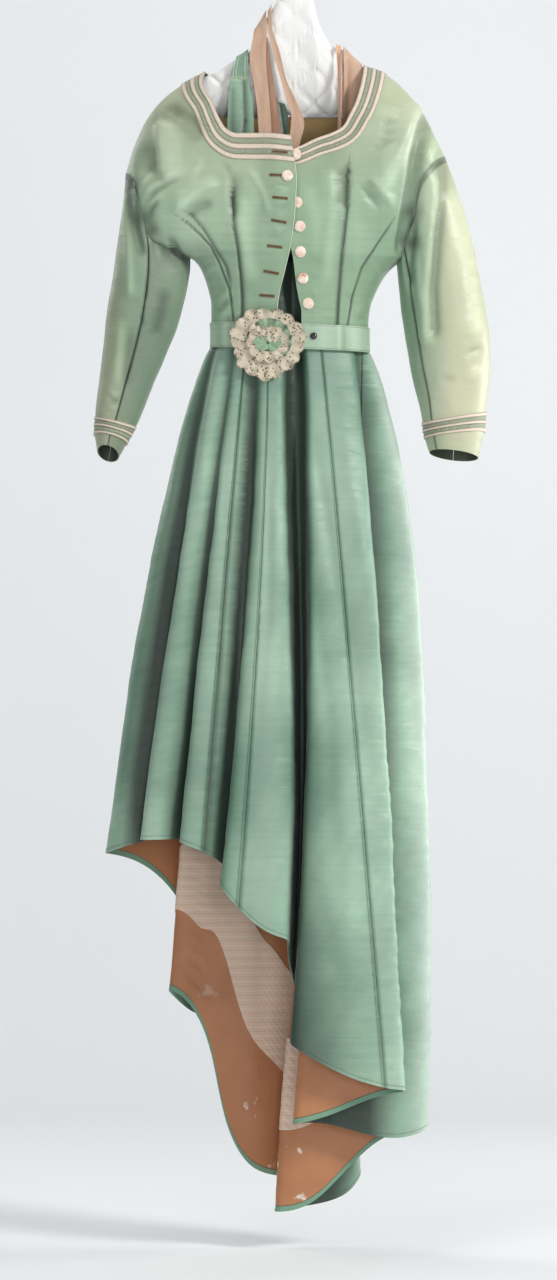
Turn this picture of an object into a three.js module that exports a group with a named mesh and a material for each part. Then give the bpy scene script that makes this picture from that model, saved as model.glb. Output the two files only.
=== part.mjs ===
// Silk ball gown of about 1865, hanging on a quilted padded hanger.
// Millimetres, +Z up, the front faces -Y. "right" and "left" are the wearer's, so the right
// side lies at -X. The origin is the inside top of the hanger's hook, which holds the gown up.
import * as THREE from 'three';

// ---------------------------------------------------------------- driving sizes
const SILK = 1.5;                 // silk wall
const LINER = 1;                  // lining, facing, ribbon and lace wall
const BRAID = 1.2;                // braid wall
const GAP = 0.3;                  // left at every seam and between layers
const LIE = 0.8;                  // flat trim above the curved panel that carries it
const WAIST_Z = -692;             // level where the skirt starts to flare
const WAIST_X = -8.5;             // middle of the waist
const WAIST_HALF_WIDTH = 128.2;
const WAIST_HALF_DEPTH = 56;
const SKIRT_RISE = 138;           // skirt above the flare, inside the bodice
const BODICE_HEM_Z = -686;
const SHOULDER_ROUND = 80;        // height over which the shoulder rounds to full depth
const SLEEVE_SIDES = 16;
const SEAM_HALF = GAP / 2;

// ---------------------------------------------------------------- finishes
const FINISHES = {
  bodice_silk: [0x9dbfa3, 0.45],
  skirt_silk: [0x75a08a, 0.42],
  braid: [0xdecdbc, 0.8],
  lining: [0xb07652, 0.4],
  check_facing: [0xc4af9e, 0.8],
  binding: [0x7fa892, 0.6],
  ribbon: [0xdeb8a0, 0.4],
  mustard_lining: [0xb99b64, 0.8],
  button: [0xebd7c8, 0.6],
  lace: [0xd9d2c0, 0.9],
  hanger_cover: [0xe8e8e6, 0.8],
};
const clothMaterials = Object.fromEntries(Object.entries(FINISHES).map(([slot, [color, roughness]]) => [
  slot,
  new THREE.MeshStandardMaterial({ color, roughness, metalness: 0 }),
]));
const steel = new THREE.MeshStandardMaterial({ color: 0xa8a8a8, roughness: 0.3, metalness: 1 });
const jet = new THREE.MeshStandardMaterial({ color: 0x14110f, roughness: 0.25, metalness: 0 });

// ---------------------------------------------------------------- small maths
const add = (a, b, scale = 1) => a.map((value, axis) => value + b[axis] * scale);
const sub = (a, b) => add(a, b, -1);
const cross = (a, b) => [a[1] * b[2] - a[2] * b[1], a[2] * b[0] - a[0] * b[2], a[0] * b[1] - a[1] * b[0]];
const unit = (a) => a.map((value) => value / (Math.hypot(...a) || 1));
const lerp = (a, b, t) => a + (b - a) * t;
const mix = (a, b, t) => a.map((value, axis) => lerp(value, b[axis], t));
const clamp01 = (t) => Math.min(1, Math.max(0, t));
const ease = (t) => clamp01(t) ** 2 * (3 - 2 * clamp01(t));
const range = (count, make) => Array.from({ length: count }, (_, index) => make(index));
const signedPower = (value, power) => Math.sign(value) * Math.abs(value) ** power;

// Smooth curve without overshoot through rows of [key, value] with rising keys.
function smoothTable(rows) {
  const keys = rows.map((row) => row[0]);
  const values = rows.map((row) => row[1]);
  const slopes = range(rows.length - 1, (i) => (values[i + 1] - values[i]) / (keys[i + 1] - keys[i]));
  const tangents = rows.map((_, i) => {
    if (i === 0) return slopes[0];
    if (i === rows.length - 1) return slopes[i - 1];
    const [before, after] = [slopes[i - 1], slopes[i]];
    return before * after <= 0 ? 0 : (2 * before * after) / (before + after);
  });
  return (key) => {
    if (key <= keys[0]) return values[0];
    if (key >= keys[keys.length - 1]) return values[values.length - 1];
    const i = keys.findIndex((_, index) => keys[index + 1] >= key);
    const span = keys[i + 1] - keys[i];
    const t = (key - keys[i]) / span;
    return (2 * t ** 3 - 3 * t ** 2 + 1) * values[i] + (t ** 3 - 2 * t ** 2 + t) * span * tangents[i]
      + (3 * t ** 2 - 2 * t ** 3) * values[i + 1] + (t ** 3 - t ** 2) * span * tangents[i + 1];
  };
}

// Smooth outline through points of [x, z]: returns a function of the fraction of its length.
function outline(points) {
  const lengths = points.map(() => 0);
  for (let i = 1; i < points.length; i += 1) {
    lengths[i] = lengths[i - 1] + Math.hypot(...sub(points[i], points[i - 1]));
  }
  const whole = lengths[lengths.length - 1];
  const xAt = smoothTable(points.map((point, i) => [lengths[i] / whole, point[0]]));
  const zAt = smoothTable(points.map((point, i) => [lengths[i] / whole, point[1]]));
  return (t) => [xAt(t), zAt(t)];
}

// ---------------------------------------------------------------- solids
const gown = new THREE.Group();

function addMesh(name, geometry, material) {
  const mesh = new THREE.Mesh(geometry, material);
  mesh.name = name;
  gown.add(mesh);
  return mesh;
}

function solidFromFaces(faces) {
  const corners = faces.filter(([a, b, c]) => Math.hypot(...cross(sub(b, a), sub(c, a))) > 1e-7);
  const volume = corners.reduce((sum, [a, b, c]) => {
    const [nx, ny, nz] = cross(b, c);
    return sum + a[0] * nx + a[1] * ny + a[2] * nz;
  }, 0);
  const turned = volume < 0 ? corners.map(([a, b, c]) => [a, c, b]) : corners;
  const geometry = new THREE.BufferGeometry();
  geometry.setAttribute('position', new THREE.Float32BufferAttribute(turned.flat(2), 3));
  geometry.computeVertexNormals();
  return geometry;
}

const quad = (a, b, c, d) => [[a, b, c], [a, c, d]];

// A wall between two grids of points, [row][column]; around: the columns close on themselves.
function wall(outer, inner, around = false) {
  const rows = outer.length;
  const columns = outer[0].length;
  const steps = around ? columns : columns - 1;
  const faces = [];
  for (let r = 0; r < rows - 1; r += 1) {
    for (let c = 0; c < steps; c += 1) {
      const n = (c + 1) % columns;
      faces.push(...quad(outer[r][c], outer[r][n], outer[r + 1][n], outer[r + 1][c]));
      faces.push(...quad(inner[r][c], inner[r + 1][c], inner[r + 1][n], inner[r][n]));
    }
    if (!around) {
      faces.push(...quad(outer[r][0], outer[r + 1][0], inner[r + 1][0], inner[r][0]));
      faces.push(...quad(outer[r][steps], inner[r][steps], inner[r + 1][steps], outer[r + 1][steps]));
    }
  }
  const last = rows - 1;
  for (let c = 0; c < steps; c += 1) {
    const n = (c + 1) % columns;
    faces.push(...quad(outer[0][n], outer[0][c], inner[0][c], inner[0][n]));
    faces.push(...quad(outer[last][c], outer[last][n], inner[last][n], inner[last][c]));
  }
  return solidFromFaces(faces);
}

// A wall on a surface that at(row, column) gives as { point, normal }, from `near` to `far` above it.
function shell(rows, columns, at, near, far, around = false) {
  const places = rows.map((row) => columns.map((column) => at(row, column)));
  const level = (height) => places.map((row) => row.map(({ point, normal }) => add(point, normal, height)));
  return wall(level(far), level(near), around);
}

// A closed skin through rings of points, with a cap on the first and the last ring.
function skin(rings) {
  const faces = [];
  const count = rings[0].length;
  const middle = (ring) => ring.reduce((sum, point) => add(sum, point, 1 / count), [0, 0, 0]);
  const firstMiddle = middle(rings[0]);
  const lastMiddle = middle(rings[rings.length - 1]);
  for (let c = 0; c < count; c += 1) {
    const n = (c + 1) % count;
    for (let r = 0; r < rings.length - 1; r += 1) {
      faces.push(...quad(rings[r][c], rings[r][n], rings[r + 1][n], rings[r + 1][c]));
    }
    faces.push([firstMiddle, rings[0][n], rings[0][c]]);
    faces.push([lastMiddle, rings[rings.length - 1][c], rings[rings.length - 1][n]]);
  }
  return solidFromFaces(faces);
}

// ---------------------------------------------------------------- skirt
// One closed section, seen from above it runs along the front from right to left and back round
// the train. Each row is a knot of a fold: `turn` is its place on the waist in degrees from the
// right side, `tuck` how far it is pleated in there, `x` and `y` its place at its own hem,
// `drop` the length of the cloth there, `bow` and `low` how far it swings out to +X above and
// below half way. Two rows with the same x make a fold's round edge.
const FOLD_COLUMNS = ['name', 'turn', 'tuck', 'x', 'y', 'drop', 'bow', 'low'];
const FOLDS = [
  ['A_side_front', 2, 0, -321, -8, 864, -28, 0],
  ['A_front', 11, 0, -292, -42, 852, -24, 0],
  ['AB_valley', 21, 2, -243, -26, 840, -14, 0],
  ['B_edge_back', 29, 0, -262, -48, 838, -11, 0],
  ['B_edge_front', 35, -2, -262, -70, 838, -11, 0],
  ['B_front', 43, -2, -221, -78, 838, -8, 0],
  ['BC_valley', 50, 3, -177, -46, 836, -7, 0],
  ['C_edge_back', 54, 0, -194, -64, 838, -7, 0],
  ['C_edge_front', 57, -2, -194, -90, 843, -7, 0],
  ['right_seam', 61, -2, -151, -98, 855, -3, 0],
  ['CD_valley', 66, 3, -102, -64, 886, 5, 0],
  ['D_edge_back', 70, 0, -124, -86, 910, 12, 0],
  ['D_edge_front', 74, -2, -124, -112, 913, 12, 0],
  ['front_right_seam', 77, -2, -95, -124, 949, 10, 0],
  ['D_front', 83, -2, -48, -130, 993, 7, 0],
  ['D_right_front', 87, -1, -5, -120, 1003, -3, 14],
  ['D_right_back', 89, 4, -5, -92, 1012, -3, 14],
  ['slit_right', 90.5, 10, -7, -52, 1037, -3, 14],
  ['slit_floor', 92.5, 14, 3, -12, 1088, 5, 12],
  ['slit_left', 95, 10, 8, -50, 1134, 14, 5],
  ['E_edge_back', 97, 4, -5, -80, 1175, 15, 5],
  ['E_edge_front', 99, -1, -5, -106, 1182, 15, 5],
  ['E_front_1', 101, -2, 42, -120, 1209, 8, 0],
  ['E_front_2', 105, -2, 100, -122, 1239, 3, 0],
  ['front_left_seam', 109, -2, 162, -116, 1255, 2, 0],
  ['E_front_3', 124, -2, 178, -113, 1256, 7, 0],
  ['E_left_front', 138, -1, 189, -106, 1258, 14, 0],
  ['E_left_back', 146, 2, 189, -84, 1261, 14, 0],
  ['E_inside_1', 152, 3, 134, -76, 1270, 10, 0],
  ['E_inside_2', 156, 3, 63, -74, 1304, 0, 0],
  ['F_edge_front', 160, 2, 0, -72, 1319, -3, 0],
  ['F_edge_back', 164, 1, 0, -44, 1319, -3, 0],
  ['left_seam', 168, 0, 56, -36, 1316, 3, 0],
  ['F_front_1', 172, 0, 126, -38, 1341, 20, 0],
  ['F_front_2', 176, 0, 189, -34, 1348, 41, 0],
  ['F_side_front', 180, 0, 231, -16, 1329, 56, 0],
  ['F_side_back', 185, 0, 231, 8, 1329, 56, 0],
  ['F_inside_1', 191, 0, 190, 22, 1336, 41, 0],
  ['F_inside_2', 197, 1, 144, 26, 1350, 20, 0],
  ['F_inside_3', 203, 2, 87, 24, 1406, 7, 0],
  ['F_inside_4', 209, 3, 29, 18, 1470, 0, 0],
  ['G_edge_front', 215, 3, -31, 14, 1476, -5, 0],
  ['G_edge_back', 221, 2, -31, 40, 1474, -5, 0],
  ['G_front_1', 227, 0, 37, 50, 1467, 0, 0],
  ['G_front_2', 233, 0, 92, 60, 1454, 8, 0],
  ['G_left_front', 239, -1, 117, 68, 1420, 10, 0],
  ['G_left_back', 245, 0, 117, 90, 1406, 10, 0],
  ['back_left_seam', 251, 0, 54, 98, 1420, 5, 0],
  ['H_1', 257, 0, -8, 88, 1423, 0, 0],
  ['H_2', 264, 0, -49, 68, 1416, 0, 0],
  ['H_3', 271, 0, -85, 60, 1396, -3, 0],
  ['H_4', 278, 0, -121, 62, 1321, -7, 0],
  ['H_5', 285, 0, -139, 60, 1192, -10, 0],
  ['back_right_seam', 292, 1, -175, 52, 1117, -14, 0],
  ['I_edge_front', 299, 2, -212, 44, 1096, -17, 0],
  ['I_edge_back', 305, 2, -212, 72, 1103, -17, 0],
  ['I_inside', 311, 0, -175, 84, 1141, -14, 0],
  ['J_left_front', 318, 0, -146, 98, 1148, -22, 0],
  ['J_left_back', 326, 0, -146, 124, 1071, -24, 0],
  ['A_inside_1', 334, 0, -185, 116, 952, -22, 0],
  ['A_inside_2', 342, 0, -250, 88, 882, -20, 0],
  ['side_right_seam', 349, 0, -306, 46, 867, -26, 0],
  ['A_side_back', 356, 0, -321, 14, 864, -28, 0],
].map((row) => Object.fromEntries(row.map((value, i) => [FOLD_COLUMNS[i], value])));
const KNOTS = FOLDS.length;
const knot = (name) => FOLDS.findIndex((fold) => fold.name === name);

const upperSwing = (v) => (v ** 0.6 * (1 - v) ** 1.1) / 0.3317;
const lowerSwing = (v) => (v ** 2.2 * (1 - v) ** 1.3) / 0.1116;

// A knot's point at the fraction v of its drop; v below 0 is the rise inside the bodice.
function knotPoint(fold, v) {
  const turn = THREE.MathUtils.degToRad(fold.turn);
  const x = WAIST_X - (WAIST_HALF_WIDTH - fold.tuck) * signedPower(Math.cos(turn), 0.833);
  const y = -(WAIST_HALF_DEPTH - fold.tuck) * signedPower(Math.sin(turn), 0.833);
  if (v <= 0) {
    const narrow = 1 - 0.03 * ease(-v * 3);
    return [WAIST_X + (x - WAIST_X) * narrow, y * narrow, WAIST_Z - v * SKIRT_RISE];
  }
  const swing = fold.bow * upperSwing(v) + fold.low * lowerSwing(v);
  return [lerp(x, fold.x, v) + swing, lerp(y, fold.y, v ** 0.8), WAIST_Z - v * fold.drop];
}

// Uniform cubic B-spline through the knots, closed: u runs over the knots' numbers.
function skirtPoint(u, v) {
  const first = Math.floor(u);
  const t = u - first;
  const weights = [(1 - t) ** 3, 3 * t ** 3 - 6 * t ** 2 + 4, -3 * t ** 3 + 3 * t ** 2 + 3 * t + 1, t ** 3];
  return weights.reduce((sum, weight, i) => {
    const fold = FOLDS[(first - 1 + i + KNOTS) % KNOTS];
    return add(sum, knotPoint(fold, v), weight / 6);
  }, [0, 0, 0]);
}

function skirtSurface(u, v) {
  const step = sub(skirtPoint(u + 0.02, v), skirtPoint(u - 0.02, v));
  return { point: skirtPoint(u, v), normal: unit([step[1], -step[0], 0]), speed: Math.hypot(...step) / 0.04 };
}

const dropAt = (u) => WAIST_Z - skirtPoint(u, 1)[2];
const halfKnots = (from, to) => range(Math.round((to - from) * 2) + 1, (i) => from + i / 2);

// Skirt gores: each runs from one seam knot to the next, with half the seam gap trimmed at its ends.
const GORE_ROWS = [-1, 0, 0.06, 0.17, 0.32, 0.49, 0.66, 0.83, 1];
const GORES = [
  ['skirt_side_right', 'side_right_seam', 'right_seam'],
  ['skirt_front_right', 'right_seam', 'front_right_seam'],
  ['skirt_front_centre', 'front_right_seam', 'front_left_seam'],
  ['skirt_side_left', 'front_left_seam', 'left_seam'],
  ['skirt_back_left', 'left_seam', 'back_left_seam'],
  ['skirt_back_centre', 'back_left_seam', 'back_right_seam'],
  ['skirt_back_right', 'back_right_seam', 'side_right_seam'],
];

function trimmed(u, v, from, to) {
  const trim = SEAM_HALF / skirtSurface(u, v).speed;
  if (u === from) return u + trim;
  if (u === to) return u - trim;
  return u;
}

for (const [name, startName, endName] of GORES) {
  const from = knot(startName);
  const to = knot(endName) + (knot(endName) < from ? KNOTS : 0);
  const at = (v, u) => skirtSurface(trimmed(u, v, from, to), v);
  addMesh(name, shell(GORE_ROWS, halfKnots(from, to), at, -SILK, 0), clothMaterials.skirt_silk);
}

// Polished cotton lining of the train, on the inside from the left front fold round to the right
// side, below the level that shows under the short front hem.
const LINING_ROWS = [0.49, 0.66, 0.83];
const BINDING_WIDTH = 9;
const BINDING_CLEAR = 1;           // between the lining's lower edge and the binding
const LINING_NEAR = -SILK - GAP;
const liningColumns = halfKnots(knot('E_left_back'), knot('A_side_back'));
const bindingTop = (u) => 1 - BINDING_WIDTH / dropAt(u);
const liningAt = (v, u) => skirtSurface(u, Math.min(v, bindingTop(u) - BINDING_CLEAR / dropAt(u)));
addMesh(
  'train_lining',
  shell([...LINING_ROWS, 1], liningColumns, liningAt, LINING_NEAR - LINER, LINING_NEAR),
  clothMaterials.lining,
);

// Checked cotton strip across the lining of the train: how far its two edges lie above the hem.
const FACING_EDGES = [
  ['F_inside_2', 120, 235],
  ['F_inside_3', 139, 270],
  ['G_edge_front', 139, 294],
  ['G_left_back', 150, 310],
  ['H_1', 168, 343],
  ['H_2', 197, 382],
  ['H_3', 214, 401],
  ['H_4', 233, 440],
  ['H_5', 194, 330],
  ['back_right_seam', 139, 265],
  ['I_edge_front', 139, 250],
  ['I_edge_back', 132, 240],
  ['J_left_front', 120, 225],
];
const facingLow = smoothTable(FACING_EDGES.map(([name, low]) => [knot(name), low]));
const facingHigh = smoothTable(FACING_EDGES.map(([name, , high]) => [knot(name), high]));
const FACING_NEAR = LINING_NEAR - LINER - LIE;
const facingColumns = halfKnots(knot('F_inside_2'), knot('J_left_front'));
const facingAt = (t, u) => skirtSurface(u, 1 - lerp(facingHigh(u), facingLow(u), t) / dropAt(u));
addMesh(
  'train_facing_check',
  shell([0, 0.5, 1], facingColumns, facingAt, FACING_NEAR - LINER, FACING_NEAR),
  clothMaterials.check_facing,
);

// Green binding along the whole hem, on the inside.
const bindingAt = (t, u) => skirtSurface(u, lerp(bindingTop(u), 1, t));
addMesh(
  'hem_binding',
  shell([0, 1], halfKnots(0, KNOTS - 0.5), bindingAt, LINING_NEAR - BRAID, LINING_NEAR, true),
  clothMaterials.binding,
);

// ---------------------------------------------------------------- bodice form
// Seen from the front, the form ends at the shoulder line above and at the two side lines. Above
// the armpits the side lines stand for the closed form of bodice and sleeve top together.
const RIGHT_SIDE = smoothTable([
  [-690, -139], [-653, -139], [-624, -139], [-602, -143], [-571, -153], [-556, -161], [-544, -174],
  [-535, -212], [-525, -238], [-508, -264], [-490, -280], [-471, -288], [-428, -292], [-200, -300],
]);
const LEFT_SIDE = smoothTable([
  [-690, 128], [-658, 128], [-629, 131], [-602, 141], [-575, 156], [-555, 176],
  [-540, 202], [-512, 226], [-485, 240], [-439, 252], [-394, 262], [-200, 270],
]);
const SHOULDER_LINE = smoothTable([
  [-284, -400], [-269, -352], [-250, -311], [-226, -279], [-201, -258], [-175, -241], [-148, -228],
  [-60, -175], [0, -150], [50, -165], [120, -217],
  [151, -228], [177, -246], [202, -272], [223, -301], [241, -337], [258, -372],
]);
const HALF_DEPTH = smoothTable([
  [-690, 65], [-655, 65], [-630, 67], [-600, 72], [-540, 80], [-450, 84], [-350, 78], [-220, 68],
]);
const ROUNDNESS = 2.4;            // of the superellipse sections

function formDepth(x, z) {
  const [right, left] = [RIGHT_SIDE(z), LEFT_SIDE(z)];
  const across = Math.min(1, Math.abs((2 * x - right - left) / (left - right)));
  const below = clamp01(1 - (SHOULDER_LINE(x) - z) / SHOULDER_ROUND);
  return HALF_DEPTH(z) * (1 - across ** ROUNDNESS) ** (1 / ROUNDNESS) * Math.sqrt(1 - below ** 2);
}

// Point and outward normal of the form at a place in the front view; side is -1 front, 1 back.
function formSurface(x, z, side, lift = 0) {
  const squared = (a, b) => formDepth(a, b) ** 2;
  const depth = formDepth(x, z);
  const slopeX = (squared(x + 0.5, z) - squared(x - 0.5, z)) / 1;
  const slopeZ = (squared(x, z + 0.5) - squared(x, z - 0.5)) / 1;
  const normal = unit([-slopeX, side * 2 * Math.max(depth, 0.05), -slopeZ]);
  return { point: add([x, side * (depth + SEAM_HALF), z], normal, lift), normal };
}

// Grid over a four-sided outline in the front view: the four edges are lists of [x, z]. The bends
// of the start and end edges fade out over the rows.
const START_FADE = 8;
function coonsGrid(start, end, first, last, us, vs) {
  const bend = (edge, u, i, axis) => edge[i][axis] - lerp(edge[0][axis], edge[edge.length - 1][axis], u);
  return vs.map((v, j) => us.map((u, i) => [0, 1].map((axis) => (
    lerp(first[j][axis], last[j][axis], u)
    + (1 - v) ** START_FADE * bend(start, u, i, axis) + v * bend(end, u, i, axis)
  ))));
}

// Panel outlines in the front view. Armholes run from the shoulder end down to the underarm.
const ARMHOLES = {
  right: outline([[-284, -400], [-264, -428], [-257, -471], [-243, -506], [-212, -527], [-174, -544]]),
  left: outline([[258, -372], [247, -378], [231, -394], [216, -415], [210, -439], [203, -485], [196, -520],
    [176, -555]]),
};
const SHOULDER_ENDS = { right: -284, left: 258 };
const NECK_EDGES = {
  right: outline([[-4, -343], [-56, -338], [-95, -338], [-112, -331], [-122, -317], [-136, -286],
    [-152, -251], [-148, -228]]),
  left: outline([[-6, -366], [7, -362], [41, -346], [66, -337], [83, -327], [95, -306], [107, -280],
    [117, -240], [120, -217]]),
  back: outline([[-148, -228], [-110, -250], [-50, -267], [-8, -270], [40, -265], [90, -243], [120, -217]]),
};
const FRONT_EDGES = {
  right: smoothTable([[-686, -30], [-666, -29], [-634, -27], [-605, -23], [-568, -14], [-518, -3],
    [-462, 3], [-416, 5], [-386, 2], [-343, -4]]),
  left: smoothTable([[-686, 14], [-638, 14], [-620, 10], [-592, 5], [-551, 0], [-518, -6], [-470, -9],
    [-412, -8], [-366, -6]]),
};
const SIDE_LINES = { right: RIGHT_SIDE, left: LEFT_SIDE };
const NECK_SIDE = { right: 1, left: -1, back: -1 };  // on which side of its neck edge the panel lies

// Rows of points next to the neck edge, by their distance from it; the braid lies on every other one.
const NECK_ROWS = [0, 7.6, 15, 22.6, 30, 37.6];
const SHOULDER_STEPS = 4;
const FRONT_COLUMNS = 12;
const BACK_COLUMNS = 14;
const ARMHOLE_STEPS = SLEEVE_SIDES / 2;
const SIDE_LEVELS = [-568, -605, -650, BODICE_HEM_Z];
// How far down a panel each row of its outer edge lies: shoulder end, underarm, hem.
const UNDERARM_ROW = SHOULDER_STEPS + ARMHOLE_STEPS;
const rowShare = smoothTable([[0, 0], [SHOULDER_STEPS, 0.12], [UNDERARM_ROW, 0.58], [UNDERARM_ROW + 1, 0.65],
  [UNDERARM_ROW + 2, 0.75], [UNDERARM_ROW + 3, 0.88], [UNDERARM_ROW + 4, 1]]);

// Point on the line parallel to a neck edge; t may run past the edge's ends, along its tangent.
function besideNeck(panel, away, t) {
  const inside = clamp01(t);
  const edge = NECK_EDGES[panel];
  const [x0, z0] = edge(clamp01(inside - 0.01));
  const [x1, z1] = edge(clamp01(inside + 0.01));
  const [dx, dz] = [x1 - x0, z1 - z0].map((value) => value / Math.hypot(x1 - x0, z1 - z0));
  const beyond = (t - inside) * 300;
  const [x, z] = edge(inside);
  const turn = NECK_SIDE[panel];
  return [x + dx * beyond - turn * dz * away, z + dz * beyond + turn * dx * away];
}

// Where such a line meets the shoulder line, looked for from the middle of the edge towards t = outer.
function shoulderMeeting(panel, away, outer) {
  let [low, high] = [0.5, outer];
  for (let i = 0; i < 40; i += 1) {
    const middle = (low + high) / 2;
    const [x, z] = besideNeck(panel, away, middle);
    if (SHOULDER_LINE(x) > z) low = middle;
    else high = middle;
  }
  return low;
}

function neckRow(panel, away, shares) {
  const end = shoulderMeeting(panel, away, 1.5);
  if (panel === 'back') {
    const start = shoulderMeeting(panel, away, -0.5);
    return shares.map((share) => besideNeck(panel, away, lerp(start, end, share)));
  }
  const [x0, z0] = besideNeck(panel, away, 0);
  const shift = FRONT_EDGES[panel](z0) - x0;
  return shares.map((share) => {
    const [x, z] = besideNeck(panel, away, share * end);
    return [x + shift * (1 - share) ** 4, z];
  });
}

// From a point on the shoulder line out to its end, down the armhole and down the side seam.
function outerEdge(side, fromX) {
  const shoulder = range(SHOULDER_STEPS, (i) => {
    const x = lerp(fromX, SHOULDER_ENDS[side], Math.sin((Math.PI / 2) * (i / SHOULDER_STEPS)) ** 0.95);
    return [x, SHOULDER_LINE(x)];
  });
  const armhole = range(ARMHOLE_STEPS + 1, (i) => (
    ARMHOLES[side]((1 - Math.cos((Math.PI * i) / ARMHOLE_STEPS)) / 2)
  ));
  return [...shoulder, ...armhole, ...SIDE_LEVELS.map((z) => [SIDE_LINES[side](z), z])];
}

// The right front laps over the left one and over the buttons that its edge half hides.
const LAP_OVER_BUTTONS = 8.2;
const LAP = 2.4;
const lapHeight = smoothTable([[-640, 0], [-590, LAP], [-508, LAP], [-478, LAP_OVER_BUTTONS]]);
const lapLift = (x, z) => lapHeight(z) * ease((x + 62) / 40);

const NECK_LAST = NECK_ROWS.length - 1;

function frontGrid(side) {
  const us = range(FRONT_COLUMNS + 1, (i) => Math.sin((Math.PI / 2) * (i / FRONT_COLUMNS)));
  const neck = NECK_ROWS.map((away) => neckRow(side, away, us));
  const start = neck[NECK_LAST];
  const last = outerEdge(side, start[FRONT_COLUMNS][0]);
  const vs = last.map((_, j) => rowShare(j));
  const first = vs.map((v) => lerp(start[0][1], BODICE_HEM_Z, v)).map((z) => [FRONT_EDGES[side](z), z]);
  const foot = FRONT_EDGES[side](BODICE_HEM_Z);
  const end = us.map((u) => [lerp(foot, SIDE_LINES[side](BODICE_HEM_Z), u), BODICE_HEM_Z]);
  return [...neck, ...coonsGrid(start, end, first, last, us, vs).slice(1)];
}

function backGrid() {
  const us = range(BACK_COLUMNS + 1, (i) => (1 - Math.cos((Math.PI * i) / BACK_COLUMNS)) / 2);
  const neck = NECK_ROWS.map((away) => neckRow('back', away, us));
  const start = neck[NECK_LAST];
  const first = outerEdge('right', start[0][0]);
  const last = outerEdge('left', start[BACK_COLUMNS][0]);
  const vs = last.map((_, j) => rowShare(j));
  const end = us.map((u) => [lerp(RIGHT_SIDE(BODICE_HEM_Z), LEFT_SIDE(BODICE_HEM_Z), u), BODICE_HEM_Z]);
  return [...neck, ...coonsGrid(start, end, first, last, us, vs).slice(1)];
}

const PANELS = {
  right: { name: 'bodice_front_right', grid: frontGrid('right'), side: -1, lift: lapLift },
  left: { name: 'bodice_front_left', grid: frontGrid('left'), side: -1, lift: () => 0 },
  back: { name: 'bodice_back', grid: backGrid(), side: 1, lift: () => 0 },
};

function panelAt(panel, row, column) {
  const { grid, side, lift } = PANELS[panel];
  const [x, z] = grid[row][column];
  return formSurface(x, z, side, lift(x, z));
}

// Braid: cream rows on every other row of points of each panel.
for (const [panel, { name, grid }] of Object.entries(PANELS)) {
  const rows = range(grid.length, (j) => j);
  const columns = range(grid[0].length, (i) => i);
  const at = (row, column) => panelAt(panel, row, column);
  addMesh(name, shell(rows, columns, at, -SILK, 0), clothMaterials.bodice_silk);
  for (let row = 0; row < 3; row += 1) {
    const braid = shell([2 * row, 2 * row + 1], columns, at, GAP, GAP + BRAID);
    addMesh(`neck_braid_${row + 1}_${panel}`, braid, clothMaterials.braid);
  }
}

// Mustard lining of the bodice back, built where it shows inside the neck: from the back's own
// points, down to the level that the front neck edge hides.
const BACK_LINING_ROWS = [0, 1, 2, 3, 4, 5, 6, 7, 9];
const backLiningColumns = range(BACK_COLUMNS - 3, (i) => i + 2);
addMesh(
  'bodice_back_lining',
  shell(BACK_LINING_ROWS, backLiningColumns, (row, column) => panelAt('back', row, column),
    -SILK - LIE - LINER, -SILK - LIE),
  clothMaterials.mustard_lining,
);

// ---------------------------------------------------------------- sleeves
// Rings from the armhole to the cuff: `outer` and `inner` are the sleeve's two outlines in the
// front view, `depth` is half the sleeve's depth, `hole` how far the ring still follows the armhole.
const SLEEVE_COLUMNS = ['outerX', 'outerZ', 'innerX', 'innerZ', 'depth', 'hole'];
const SLEEVE_RINGS = {
  right: [
    [-284, -400, -174, -544, 46, 1], [-289, -454, -175, -563, 45, 0.62], [-296, -505, -178, -583, 46, 0.34],
    [-304, -556, -183, -610, 46, 0.14], [-314, -629, -194, -655, 45, 0.03], [-323, -704, -214, -704, 43, 0],
    [-332, -768, -240, -765, 40, 0], [-335, -808, -264, -824, 35, 0], [-337, -840, -281, -855, 31, 0],
    [-333, -872, -296, -880, 27, 0],
  ],
  left: [
    [258, -372, 176, -555, 46, 1], [276, -420, 178, -575, 45, 0.62], [293, -471, 180, -600, 46, 0.34],
    [307, -530, 183, -632, 46, 0.14], [323, -607, 190, -676, 45, 0.03], [335, -675, 199, -728, 43, 0],
    [337, -731, 209, -775, 40, 0], [328, -801, 219, -820, 36, 0], [325, -838, 224, -850, 33, 0],
    [315, -884, 231, -874, 29, 0],
  ],
};
const SLEEVE_SEAMS = { right: 90, left: 135 };  // front seam, degrees from the outer line
const BACK_SEAM = 270;
const ARMHOLE_GAP = 0.5;
const SLEEVE_SEAM_HALF = 0.21;
const CUFF_TILT = { right: 13, left: 8 };       // the cuff's front edge stands higher than its back

function armholePoint(side, degrees) {
  const front = degrees <= 180;
  const share = (1 - Math.cos(THREE.MathUtils.degToRad(degrees))) / 2;
  const [x, z] = ARMHOLES[side](share);
  const surface = formSurface(x, z, front ? -1 : 1);
  const onSide = degrees % 180 === 0;
  return {
    point: onSide ? [x, 0, z] : surface.point,
    normal: onSide ? unit([surface.normal[0], 0, surface.normal[2]]) : surface.normal,
    share,
  };
}

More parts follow.
